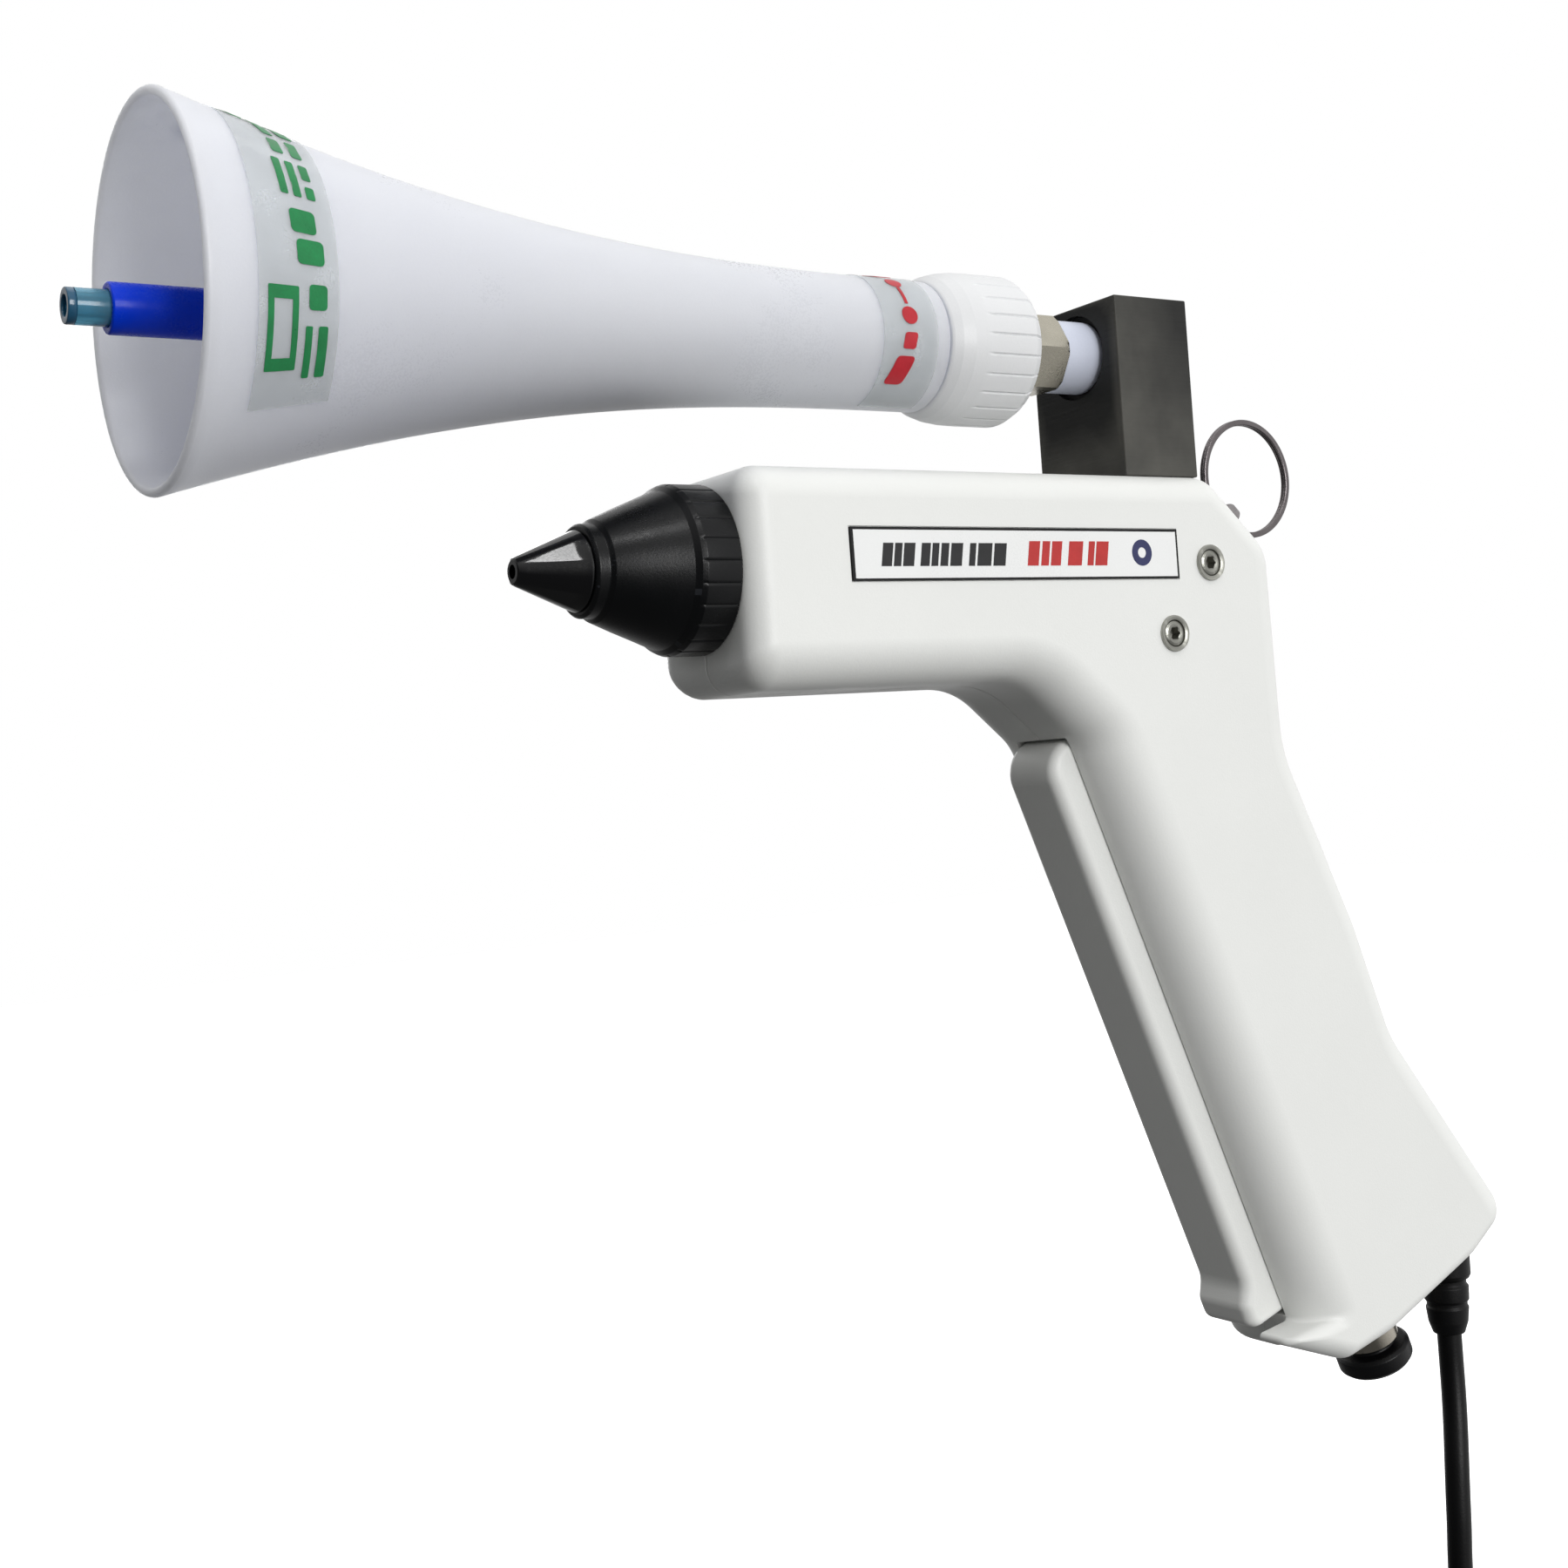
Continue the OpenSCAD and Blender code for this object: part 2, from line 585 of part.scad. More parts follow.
// ---- nose ----
module nose_cone() {
    color([0.05, 0.05, 0.06])
    difference() {
        about_x(nose_z, [[0, -145.5], [7.6, -145.5], [8.0, -144.6], [8.0, -143.2], [8.8, -142.6],
            [13.6, -130.2], [nose_r - 0.3, -129.2], [nose_r, -128.6], [nose_r, front_x - 0.02],
            [11.5, front_x - 0.02], [11.5, -113], [0, -113]]);
        about_x(nose_z, [[0, -112], [9.5, -112], [9.5, -129], [6.6, -140], [5.02, -140],
            [5.02, -146], [0, -146]]);
        for (i = [0:23])
            translate([0, 0, nose_z]) rotate([15 * i, 0, 0])
                translate([-128.4, 0, nose_r + 0.12]) rotate([0, 90, 0])
                    cylinder(r = 0.35, h = 6.9, $fn = 4);
    }
}
module nozzle_tip() {
    color([0.03, 0.03, 0.035])
    difference() {
        about_x(nose_z, [[0, -157.2], [1.9, -157.2], [2.5, -156.6], [6.7, -146.3], [6.9, -145.6],
            [5, -145.5], [5, -139.5], [0, -139.5]]);
        about_x(nose_z, [[0, -139], [3.8, -139], [3.8, -147], [1.2, -153.5], [1.2, -158],
            [0, -158]]);
        for (i = [0:3])
            translate([0, 0, nose_z]) rotate([90 * i + 50, 0, 0])
                translate([-158, -1.1, 0]) rotate([0, 22, 0]) translate([0, 0, 2.6])
                    cube([11, 2.2, 3]);
    }
}
module needle_holder() {
    color([0.9, 0.88, 0.82])
    difference() {
        about_x(nose_z, [[0, -126], [9.48, -126], [9.48, -120.5], [3.5, -120.5], [3.5, -118],
            [0, -118]]);
        for (i = [0:5])
            translate([-127, 0, nose_z]) rotate([60 * i, 0, 0]) translate([0, 0, 6.3])
                rotate([0, 90, 0]) cylinder(r = 1.5, h = 8, $fn = 24);
        about_x(nose_z, [[0, -127], [0.77, -127], [0.77, -119], [0, -119]]);
    }
}
module emitter_needle() {
    color([0.78, 0.78, 0.8])
    about_x(nose_z, [[0, -152.4], [0.12, -152.2], [0.75, -147.5], [0.75, -119.1], [0, -119.1]]);
}

// ---- electrics ----
module high_voltage_module() {
    color([0.09, 0.1, 0.12])
    block([-106, -10.5, 72], [-62, 10.5, 83.6]);
}
module circuit_board() {
    color([0.1, 0.32, 0.2]) {
        block([-108, -10.8, 93.4], [-47, 10.8, 95]);
        block([-100, -6, 94.9], [-90, 6, 99.5]);
        block([-84, -8, 94.9], [-72, 2, 98.5]);
        translate([-60, 4, 94.9]) cylinder(r = 4, h = 6, $fn = 32);
    }
}
module emitter_lead() {
    color([0.7, 0.1, 0.1])
    sweep([[-106.5, 0.6, 80.1], [-109.5, 2, 80.5], [-113, 5, 82.5], [-117, 6, 84.5], [-120.4, 5.2, 85.4]],
        0.8, 8, 3, [0, 0.1, 1]);
}
module power_lead() {
    color([0.06, 0.06, 0.06])
    sweep([[gland_x, gland_y, -49], [48, -5.6, -42], [41, -6, -34], [27, -6, -14],
        [24, -6, -7], [21.3, -6, 0], [19.3, -6, 5], [13, -6, 20], [9, -6, 31], [2.4, -6, 44], [-1.8, -6, 55], [-9, -6.5, 62],
        [-20, -7, 65], [-30, -7, 65.6], [-38, -7, 69.5], [-42.5, -7, 78], [-49, -7, 88],
        [-55.2, -6.2, 91.8]], 1.3, 8, 3, [0, 1, 0.1]);
}

// ---- hanging ring ----
function off_slope(k, h) = eye_c + k * [0.751, -0.66] + h * [0.66, 0.751];
module lug_block(gap) {
    w = 4 + gap;
    a = 0.8 + gap;
    slab([off_slope(-a, 0), off_slope(-a, -9.6), off_slope(a, -9.6), off_slope(a, 0)], -w, w);
}
module ring_lug() {
    color([0.45, 0.44, 0.43])
    difference() {
        union() {
            lug_block(0);
            translate([eye_c[0], 0, eye_c[1]]) rotate([0, 131.3, 0])
                translate([0, 0, -0.8]) cylinder(r = 4, h = 1.6, $fn = 48);
        }
        translate([eye_c[0], 0, eye_c[1]]) rotate([0, 131.3, 0])
            translate([0, 0, -2]) cylinder(r = 2.4, h = 4, $fn = 48);
    }
}
module split_ring() {
    color([0.37, 0.355, 0.36])
    translate([ring_c[0], 0, ring_c[1]]) rotate([90, 0, 0])
        rotate_extrude($fn = 96) polygon([[ring_r - 0.8, -0.8], [ring_r - 0.5, -1.05],
            [ring_r + 0.5, -1.05], [ring_r + 0.8, -0.8], [ring_r + 0.8, 0.8],
            [ring_r + 0.5, 1.05], [ring_r - 0.5, 1.05], [ring_r - 0.8, 0.8]]);
}

// ---- cord ----
cord_route = [[gland_x, gland_y, -60], [gland_x, gland_y, -70], [gland_x, gland_y, -83],
    [51.3, -4.8, -94], [48.5, -6.7, -107], [46.6, -7.7, -120], [45.9, -7.7, -134],
    [45.8, -7.7, -148], [45.8, -7.7, -160], [45.8, -7.7, -172]];
tail_route = [[45.8, 2.9, -190], [45.8, 2.9, -203], [45.8, 2.9, -216]];
module strain_relief() {
    color([0.03, 0.03, 0.035])
    translate([gland_x, gland_y, 0]) rotate_extrude($fn = 64) polygon([
        [cord_d / 2 + 0.02, -50], [5.1, -50], [5.1, -52.2], [4.25, -52.2], [4.25, -61],
        [5.4, -62.5], [5.4, -67.2], [4.5, -67.8], [4.5, -69.2], [4.8, -69.8], [4.6, -76],
        [3.3, -80], [cord_d / 2 + 0.02, -80]]);
}
module power_cord() {
    color([0.03, 0.03, 0.035])
    sweep(cord_route, cord_d / 2, 10, 3, [0, 1, 0.01]);
}
module cord_coil() {
    a = 1.5 * strand + 0.1;
    b = 2.2;
    color([0.03, 0.03, 0.035])
    translate(coil_c) rotate([90, 0, 0]) rotate_extrude($fn = 96)
        polygon([[coil_r - a, b - a], [coil_r - a + b, -a], [coil_r + a - b, -a],
            [coil_r + a, b - a], [coil_r + a, a - b], [coil_r + a - b, a],
            [coil_r - a + b, a], [coil_r - a, a - b]]);
}
module cord_tail() {
    color([0.03, 0.03, 0.035])
    sweep(tail_route, cord_d / 2, 10, 3, [0, 1, 0.01]);
}
module cord_tie() {
    a = 3 * strand + 1;
    color([0.07, 0.07, 0.08])
    translate(coil_c + [0, 0, coil_r]) difference() {
        cube([9, a + 3, a + 3], center = true);
        cube([10, a, a], center = true);
    }
}
plug_at = [45.8, 2.9, -216];
module plug_body() {
    color([0.03, 0.03, 0.035])
    translate(plug_at) {
        rotate_extrude($fn = 48)
            polygon([[0, 0], [3.4, 0], [4.4, -12], [6.5, -16], [0, -16]]);
        translate([0, 0, -34]) linear_extrude(height = 20)
            polygon([[-17, -4], [-14, -6.8], [14, -6.8], [17, -4], [17, 4], [14, 6.8],
                [-14, 6.8], [-17, 4]]);
    }
}
module plug_pins() {
    color([0.78, 0.72, 0.5])
    for (s = [-9.5, 9.5]) translate(plug_at + [s, 0, -34])
        rotate_extrude($fn = 32) polygon([[0, 0], [2, 0], [2, -17.6], [1.2, -18.6], [0, -18.6]]);
}

left_body_shell();
right_body_shell();
shell_screws();
name_plate();
screw_cups();
body_screws();
trigger();
trigger_pin();
valve_body();
valve_end_cap();
valve_stem();
valve_seal();
valve_spring();
supply_tube();
delivery_tube();
microswitch();
switch_button();
inlet_fitting();
inlet_seal();
release_ring();
air_manifold();
nose_tube();
riser_block();
block_screws();
spacer_sleeve();
hex_nipple();
vortex_horn();
collar_nut();
horn_bush();
rotor_hub();
whip_tube();
whip_sleeve();
whip_end_ring();
mouth_label();
neck_label();
nose_cone();
nozzle_tip();
needle_holder();
emitter_needle();
high_voltage_module();
circuit_board();
emitter_lead();
power_lead();
ring_lug();
split_ring();
strain_relief();
power_cord();
cord_coil();
cord_tail();
cord_tie();
plug_body();
plug_pins();
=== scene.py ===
import math

import bmesh
import bpy
from mathutils import Matrix, Vector


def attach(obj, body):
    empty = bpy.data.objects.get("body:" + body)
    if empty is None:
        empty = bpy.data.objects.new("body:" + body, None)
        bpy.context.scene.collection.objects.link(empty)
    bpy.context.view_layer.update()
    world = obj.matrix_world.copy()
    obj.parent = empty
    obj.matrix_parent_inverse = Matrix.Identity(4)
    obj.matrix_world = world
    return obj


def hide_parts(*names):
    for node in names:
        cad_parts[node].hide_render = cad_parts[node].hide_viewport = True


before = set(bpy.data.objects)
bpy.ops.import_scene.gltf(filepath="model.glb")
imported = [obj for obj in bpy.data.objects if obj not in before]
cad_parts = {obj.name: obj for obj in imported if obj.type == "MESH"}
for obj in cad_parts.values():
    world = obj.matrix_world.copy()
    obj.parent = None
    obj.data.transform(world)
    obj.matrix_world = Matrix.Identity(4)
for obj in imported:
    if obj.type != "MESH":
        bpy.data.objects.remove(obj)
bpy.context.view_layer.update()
S = 0.001  # every size below is in millimetres until it becomes a vertex

# ---------------------------------------------------------------- camera
CAM_AT = (-0.3025, -0.303, 0.050)  # metres
roll = math.radians(4.17)
fwd = Vector((0.5417, 0.8406, 0))
side = Vector((0.8406, -0.5417, 0))
right = side * math.cos(roll) - Vector((0, 0, 1)) * math.sin(roll)
up = side * math.sin(roll) + Vector((0, 0, 1)) * math.cos(roll)
cam = bpy.data.objects.new("camera", bpy.data.cameras.new("camera"))
bpy.context.scene.collection.objects.link(cam)
cam.data.lens, cam.data.sensor_width = 46.6, 36
cam.data.clip_start = 0.01
cam.matrix_world = Matrix((
    (right.x, up.x, -fwd.x, CAM_AT[0]),
    (right.y, up.y, -fwd.y, CAM_AT[1]),
    (right.z, up.z, -fwd.z, CAM_AT[2]),
    (0, 0, 0, 1)))
bpy.context.scene.camera = cam

# ---------------------------------------------------------------- cord
CORD_D = 5.2
STRAND = 5.3
COIL_R = 29
COIL = Vector((11.5, -2.4, -180))
# from the strain relief straight down and in to the coil's outer edge
lead = [(52.3, -4, -80), (52.2, -4.1, -86), (51.5, -4.7, -93), (50.1, -5.7, -100),
        (48.5, -6.7, -107), (47.4, -7.3, -113.5), (46.6, -7.7, -120), (46.1, -7.7, -127),
        (45.9, -7.7, -134), (45.8, -7.7, -141), (45.8, -7.7, -148), (45.8, -7.7, -155),
        (45.8, -7.7, -162), (45.8, -7.7, -169)]
# the coil's places, across (radius) and sideways, in the order that they fill
PLACES = [(1, -1), (1, 0), (0, 0), (0, -1), (-1, -1), (-1, 0), (-1, 1), (0, 1), (1, 1)]
PER_TURN = 24


def coil_point(step):
    """Point of the wound cord after that many steps, clockwise from the right."""
    turn, part = divmod(step / PER_TURN, 1)
    move = min(1, max(0, (part - 0.32) / 0.36))
    move = move * move * (3 - 2 * move)
    a = PLACES[min(8, int(turn))]
    b = PLACES[min(8, int(turn) + 1)]
    r = COIL_R + STRAND * (a[0] + (b[0] - a[0]) * move)
    y = STRAND * (a[1] + (b[1] - a[1]) * move)
    f = -2 * math.pi * part
    return COIL + Vector((r * math.cos(f), y, r * math.sin(f)))


wound = [coil_point(i) for i in range(8 * PER_TURN + 1)]
tail = [(45.8, 2.9, -188), (45.8, 2.9, -197), (45.8, 2.9, -206), (45.8, 2.9, -216)]
route = [Vector(p) for p in lead] + wound + [Vector(p) for p in tail]


def spline_curve(name, points, radius, res=3):
    """A round cord along smooth points, in millimetres."""
    cu = bpy.data.curves.new(name, "CURVE")
    cu.dimensions = "3D"
    sp = cu.splines.new("BEZIER")
    sp.bezier_points.add(len(points) - 1)
    for b, p in zip(sp.bezier_points, points):
        b.co = Vector(p) * S
        b.handle_left_type = b.handle_right_type = "AUTO"
    sp.resolution_u = res
    cu.resolution_u = res
    cu.bevel_depth = radius * S
    cu.bevel_resolution = 4
    cu.use_fill_caps = True
    o = bpy.data.objects.new(name, cu)
    bpy.context.scene.collection.objects.link(o)
    return o


cord = spline_curve("power_cord_line", route, CORD_D / 2)


# ---------------------------------------------------------------- mesh tools
def place(o):
    bpy.context.scene.collection.objects.link(o)
    return o


def smooth(o, angle=32):
    """Smooth shading, with edges sharp above the angle."""
    o.data.polygons.foreach_set("use_smooth", [True] * len(o.data.polygons))
    o.data.set_sharp_from_angle(angle=math.radians(angle))
    return o


def solid(name, parts, angle=32):
    """One mesh object from (vertices, faces) parts in millimetres."""
    verts, faces = [], []
    for v, f in parts:
        faces += [tuple(i + len(verts) for i in q) for q in f]
        verts += v
    me = bpy.data.meshes.new(name)
    me.from_pydata([tuple(Vector(v) * S) for v in verts], [], faces)
    bm = bmesh.new()
    bm.from_mesh(me)
    bmesh.ops.remove_doubles(bm, verts=bm.verts, dist=2e-7)
    bmesh.ops.recalc_face_normals(bm, faces=bm.faces)
    bm.to_mesh(me)
    bm.free()
    return smooth(place(bpy.data.objects.new(name, me)), angle)


def lathe(pts, at, axis, n=96, shape=None):
    """A closed profile of (radius, distance along the axis) turned about it."""
    a = Vector(axis).normalized()
    u = Vector((0, 0, 1)) if abs(a.z) < 0.9 else Vector((1, 0, 0))
    u = (u - a * u.dot(a)).normalized()
    v = a.cross(u)
    o = Vector(at)
    m = len(pts)
    verts, faces = [], []
    for i in range(n):
        f = 2 * math.pi * i / n
        d = u * math.cos(f) + v * math.sin(f)
        for r, h in pts:
            q = shape(360 * i / n, r, h) if shape and r > 1e-6 else r
            verts.append(o + a * h + d * q)
    for i in range(n):
        j = (i + 1) % n
        for k in range(m):
            e = (k + 1) % m
            if pts[k][0] > 1e-6 or pts[e][0] > 1e-6:
                faces.append((i * m + k, j * m + k, j * m + e, i * m + e))
    return verts, faces


def prism(pts, y0, y1):
    """An outline in X and Z, drawn out along Y."""
    n = len(pts)
    verts = [Vector((p[0], y, p[1])) for y in (y0, y1) for p in pts]
    faces = [(i, (i + 1) % n, n + (i + 1) % n, n + i) for i in range(n)]
    return verts, faces + [tuple(range(n)), tuple(range(n, 2 * n))]


def rod(a, b, r, n=48):
    """A round bar from a to b."""
    h = (Vector(b) - Vector(a)).length
    return lathe([(0, 0), (r, 0), (r, h), (0, h)], a, Vector(b) - Vector(a), n)


def rod_y(p, r, y0, y1, n=48):
    """A round bar across the tool at a point of the side view."""
    return rod((p[0], y0, p[1]), (p[0], y1, p[1]), r, n)


def brick(a, b):
    """A box between two corners, for cutting or softening."""
    v = [Vector((x, y, z)) for x in (a[0], b[0]) for y in (a[1], b[1]) for z in (a[2], b[2])]
    return v, [(0, 1, 3, 2), (4, 6, 7, 5), (0, 4, 5, 1), (2, 3, 7, 6), (0, 2, 6, 4), (1, 5, 7, 3)]


def loft(rings):
    """A closed skin over rings of equal count."""
    n, m = len(rings[0]), len(rings)
    verts = [p for r in rings for p in r]
    faces = [(j * n + i, j * n + (i + 1) % n, (j + 1) * n + (i + 1) % n, (j + 1) * n + i)
             for j in range(m - 1) for i in range(n)]
    return verts, faces + [tuple(range(n)), tuple(range((m - 1) * n, m * n))]


def bake(o, angle=32):
    """Applies the modifiers to the mesh."""
    dg = bpy.context.evaluated_depsgraph_get()
    dg.update()
    me = bpy.data.meshes.new_from_object(o.evaluated_get(dg))
    o.modifiers.clear()
    o.data = me
    return smooth(o, angle)


def cut(o, parts, op="DIFFERENCE"):
    """Takes parts away from o, or joins them to it."""
    tool = solid("tool", parts)
    m = o.modifiers.new("cut", "BOOLEAN")
    m.operation = op
    m.solver = "EXACT"
    m.object = tool
    bake(o)
    bpy.data.objects.remove(tool)
    return o


def soften(o, width, segments=3, angle=30):
    """Rounds the edges that are sharper than the angle."""
    m = o.modifiers.new("bevel", "BEVEL")
    m.width = width * S
    m.segments = segments
    m.limit_method = "ANGLE"
    m.angle_limit = math.radians(angle)
    bake(o, 50)
    return weigh(o)


def weigh(o):
    """Keeps large flat faces flat in the shading."""
    m = o.modifiers.new("normals", "WEIGHTED_NORMAL")
    m.keep_sharp = True
    m.weight = 70
    return o


def rounded(pts, r, k=4):
    """The corners of a closed profile rounded to r where there is room for it."""
    out = []
    n = len(pts)
    for i in range(n):
        a, p, b = Vector(pts[i - 1]), Vector(pts[i]), Vector(pts[(i + 1) % n])
        u, v = p - a, b - p
        lu, lv = u.length, v.length
        if p.x < 1e-6 or lu < 1e-6 or lv < 1e-6:
            out.append(tuple(p))
            continue
        u, v = u / lu, v / lv
        phi = math.acos(max(-1, min(1, u.dot(v))))
        if phi < 0.12:
            out.append(tuple(p))
            continue
        t = min(r * math.tan(phi / 2), 0.46 * lu, 0.46 * lv)
        q = t / math.tan(phi / 2)
        turn = 1 if u.x * v.y - u.y * v.x > 0 else -1
        nrm = Vector((-u.y, u.x)) * turn
        o = p - u * t + nrm * q
        a0 = math.atan2(-nrm.y, -nrm.x)
        out += [(max(0, o.x + q * math.cos(a0 + turn * phi * j / k)),
                 o.y + q * math.sin(a0 + turn * phi * j / k)) for j in range(k + 1)]
    return out


# ---------------------------------------------------------------- outlines
def unit2(v):
    return v / v.length


def cross2(a, b):
    return a.x * b.y - a.y * b.x


def left_of(a, b):
    """The unit vector to the left of the way from a to b."""
    d = b - a
    return Vector((-d.y, d.x)) / d.length


def inset(e, s):
    """How far an edge of radius e has drawn in, s below the side face."""
    return 0 if s >= e else e - math.sqrt(max(0, e * e - (e - s) ** 2))


def ring2(c, s, d, k):
    """The outline s below its side face and d further in, each corner as k + 1 points."""
    n = len(c)
    m = [d + inset(q[3], s) for q in c]
    p = [Vector(q[:2]) for q in c]
    moved = []
    for i in range(n):
        na, nb = left_of(p[i - 1], p[i]), left_of(p[i], p[(i + 1) % n])
        z = cross2(na, nb)
        da, db = m[i - 1], m[i]
        moved.append(p[i] + Vector((da * nb.y - db * na.y, na.x * db - nb.x * da)) / z)
    out = []
    for i in range(n):
        u, v = unit2(moved[i] - moved[i - 1]), unit2(moved[(i + 1) % n] - moved[i])
        turn = 1 if cross2(u, v) > 0 else -1
        q = max(0.3, c[i][2] - turn * min(m[i - 1], m[i]))
        phi = math.acos(min(1, u.dot(v)))
        nrm = Vector((-u.y, u.x)) * turn
        o = moved[i] - u * q * math.tan(phi / 2) + nrm * q
        a0 = math.atan2(-nrm.y, -nrm.x)
        out += [o + Vector((q * math.cos(a0 + turn * phi * j / k),
                            q * math.sin(a0 + turn * phi * j / k))) for j in range(k + 1)]
    return out


def at_y(pts, y):
    """Side-view points set at y."""
    return [Vector((p[0], y, p[1])) for p in pts]


GD = Vector((0.3624, -0.932))
GN = Vector((0.932, 0.3624))
AXIS_D = (GD.x, 0, GD.y)


def grip(s, t):
    """Side-view point s down the grip and t back from its front line."""
    return Vector((-46.8, 53.5)) + GD * s + GN * t


def grip3(s, t, y=0):
    g = grip(s, t)
    return Vector((g.x, y, g.y))


HW = 17.0
TOP, UNDER, FRONT = 104.5, 66.0, -121.5
WALL = 2.6
OUTLINE = [(FRONT, UNDER, 5, 8), (-60.5, UNDER, 18, 9), (-47.2, 54.5, 10, 10.5),
           (-0.3, -66, 0.9, 2.5), (-10.6, -67.4, 0.8, 4), (7.4, -74.3, 3.5, 3),
           (21, -71.2, 20, 3), (47.7, -60.4, 14, 3), (60.9, -51.4, 4, 7.5),
           (30, -10.5, 22, 7.5), (21.4, 13.4, 34, 7.5), (4.6, 50, 26, 7.5),
           (3.8, 89.6, 9, 6), (-12.4, TOP, 7, 6), (FRONT, TOP, 5, 5)]
HOLLOW = OUTLINE[:3] + [(2.9, -74.2, 4, 3)] + OUTLINE[6:]
PIV = grip(8, 7)
SWEEP = 119.3
AIR_T = 25.3
NOSE_Z, HORN_Z = 88.0, 129.7
MAST_X = -22.3
GLAND = (52.3, -4)
CUPS = [(-16, 87), (-26.8, 73.4)]
POSTS = [(-114, 71.8), (-40, 98), (10, -48), (2.6, 31)]
EYE = Vector((5.26, 97.86))


def about_x(pts, z, n=96, shape=None):
    """A part turned about a line along X at height z."""
    return lathe(pts, (0, 0, z), (1, 0, 0), n, shape)


def about_grip(pts, n=96, shape=None):
    """A part turned about the air inlet's line."""
    return lathe(pts, grip3(0, AIR_T), AXIS_D, n, shape)


def upright(pts, x, y, n=64, shape=None):
    """A part turned about an upright line."""
    return lathe(pts, (x, y, 0), (0, 0, 1), n, shape)


def hexed(flats):
    """Keeps a turned radius inside a hexagon that measures flats across."""
    def shape(f, r, h):
        w = ((f + 30) % 60) - 30
        return min(r, flats / 2 / math.cos(math.radians(w)))
    return shape


def hex_hole(flats, r_in):
    """A turned radius up to r_in becomes a hexagonal socket's wall."""
    def shape(f, r, h):
        if r > r_in:
            return r
        w = ((f + 30) % 60) - 30
        return flats / 2 / math.cos(math.radians(w)) * r / r_in
    return shape


# ---------------------------------------------------------------- body shells
DEPTHS = [0, 0.04, 0.15, 0.34, 0.6, 0.95, 1.4, 1.9, 2.5, 3.2, 4, 4.9, 5.9, 7, 8.2, 9.3, 10.5,
          12.5, 14.5, HW - 0.3]


def slot_outline():
    """The trigger's slot, its foot end an arc about the pivot."""
    pts = [grip(-1.6, 16), grip(-1.6, -12)]
    for i in range(29):
        t = -12 + i
        pts.append(grip(8 + math.sqrt(SWEEP ** 2 - (t - 7) ** 2), t))
    return pts


def lug_outline(gap):
    """The ring's eye plate, with a gap round it for its slot."""
    a = 0.8 + gap
    along, out = Vector((0.751, -0.66)), Vector((0.66, 0.751))
    return [EYE - along * a, EYE - along * a - out * 9.6, EYE + along * a - out * 9.6,
            EYE + along * a]


def carve(o, space, standing):
    """Cuts a space out of o, except where the standing parts stay."""
    tool = solid("space", [space])
    cut(tool, standing)
    m = o.modifiers.new("cut", "BOOLEAN")
    m.solver = "EXACT"
    m.object = tool
    bake(o)
    bpy.data.objects.remove(tool)


def shell(name, sgn):
    posts = [rod_y(p, 4, -19, -0.03) if sgn < 0 else rod_y(p, 4, 0.03, 19) for p in POSTS]
    posts.append(rod_y(PIV, 3.6, -19, -7.7) if sgn < 0 else rod_y(PIV, 3.6, 7.7, 19))
    around = OUTLINE if sgn < 0 else HOLLOW
    rings = [at_y(ring2(around, s, 0, 12), sgn * (HW - s)) for s in DEPTHS]
    rings.append(at_y(ring2(around, HW, 0.22, 12), sgn * 0.03))
    o = solid(name, [loft(rings)])
    lo, hi = (-9, 0.2) if sgn < 0 else (-0.2, 9)
    carve(o, prism(ring2(HOLLOW, HW, WALL, 6), lo, hi), posts)
    lo, hi = (WALL - HW, 0.2) if sgn < 0 else (-0.2, HW - WALL)
    carve(o, prism(ring2(HOLLOW, HW, WALL + 3.2, 6), lo, hi), posts)
    cut(o, [prism(slot_outline(), -7.5, 7.5)])
    if sgn < 0:
        cut(o, [prism([(-20, -60), (-20, -80), (2.9, -80), (2.9, -74.2), (-2.6, -60)], -7.5, 1)])
    cut(o, [rod((FRONT - 2, 0, NOSE_Z), (FRONT + 6, 0, NOSE_Z), 11.6, 96),
            rod((MAST_X, 0, 98), (MAST_X, 0, 108), 5.02),
            rod((MAST_X, sgn * 7.5, 98), (MAST_X, sgn * 7.5, 108), 2.2),
            rod(grip3(128, AIR_T), grip3(145, AIR_T), 5.6),
            prism(lug_outline(0.03), -4.03, 4.03)])
    cut(o, [rod((GLAND[0], GLAND[1], -72), (GLAND[0], GLAND[1], -49.9), 4.3)])
    cut(o, [rod((GLAND[0], GLAND[1], -52.3), (GLAND[0], GLAND[1], -49.9), 5.2),
            rod(grip3(139.8, AIR_T), grip3(150, AIR_T), 7.1)])
    if sgn < 0:
        cut(o, [rod_y(p, 1.25, -10, 0.2) for p in POSTS] + [rod_y(PIV, 1.5, -11, 0)]
            + [rod_y(p, 3, -HW - 1, -11) for p in CUPS]
            + [brick((-101.3, -HW - 1, 83.8), (-24.3, -HW + 0.35, 93.6))])
    else:
        seat = [(0, -0.2), (1.6, -0.2), (1.6, HW - 5), (3, HW - 5), (3, HW + 1), (0, HW + 1)]
        cut(o, [lathe(seat, (p[0], 0, p[1]), (0, 1, 0), 48) for p in POSTS]
            + [rod_y(PIV, 1.5, 0, 11)])
    return weigh(o)


left_shell = shell("body_half_near", -1)
right_shell = shell("body_half_far", 1)

# ---------------------------------------------------------------- trigger
TRIG_W, PROUD = 14.4, 6.4
TRIG = [(-0.8, -PROUD, 6.4, 2.4), (116.6, -PROUD, 5, 2.4), (120.2, -PROUD - 2.3, 3.2, 2.4),
        (125.5, -PROUD - 2.3, 2.4, 1.2), (126.5, 4, 0.5, 0.2), (18, 4, 2, 0.2),
        (15, 11.4, 4, 0.2), (2.4, 11.4, 1.5, 0.2), (-0.8, 5, 2, 1.9)]


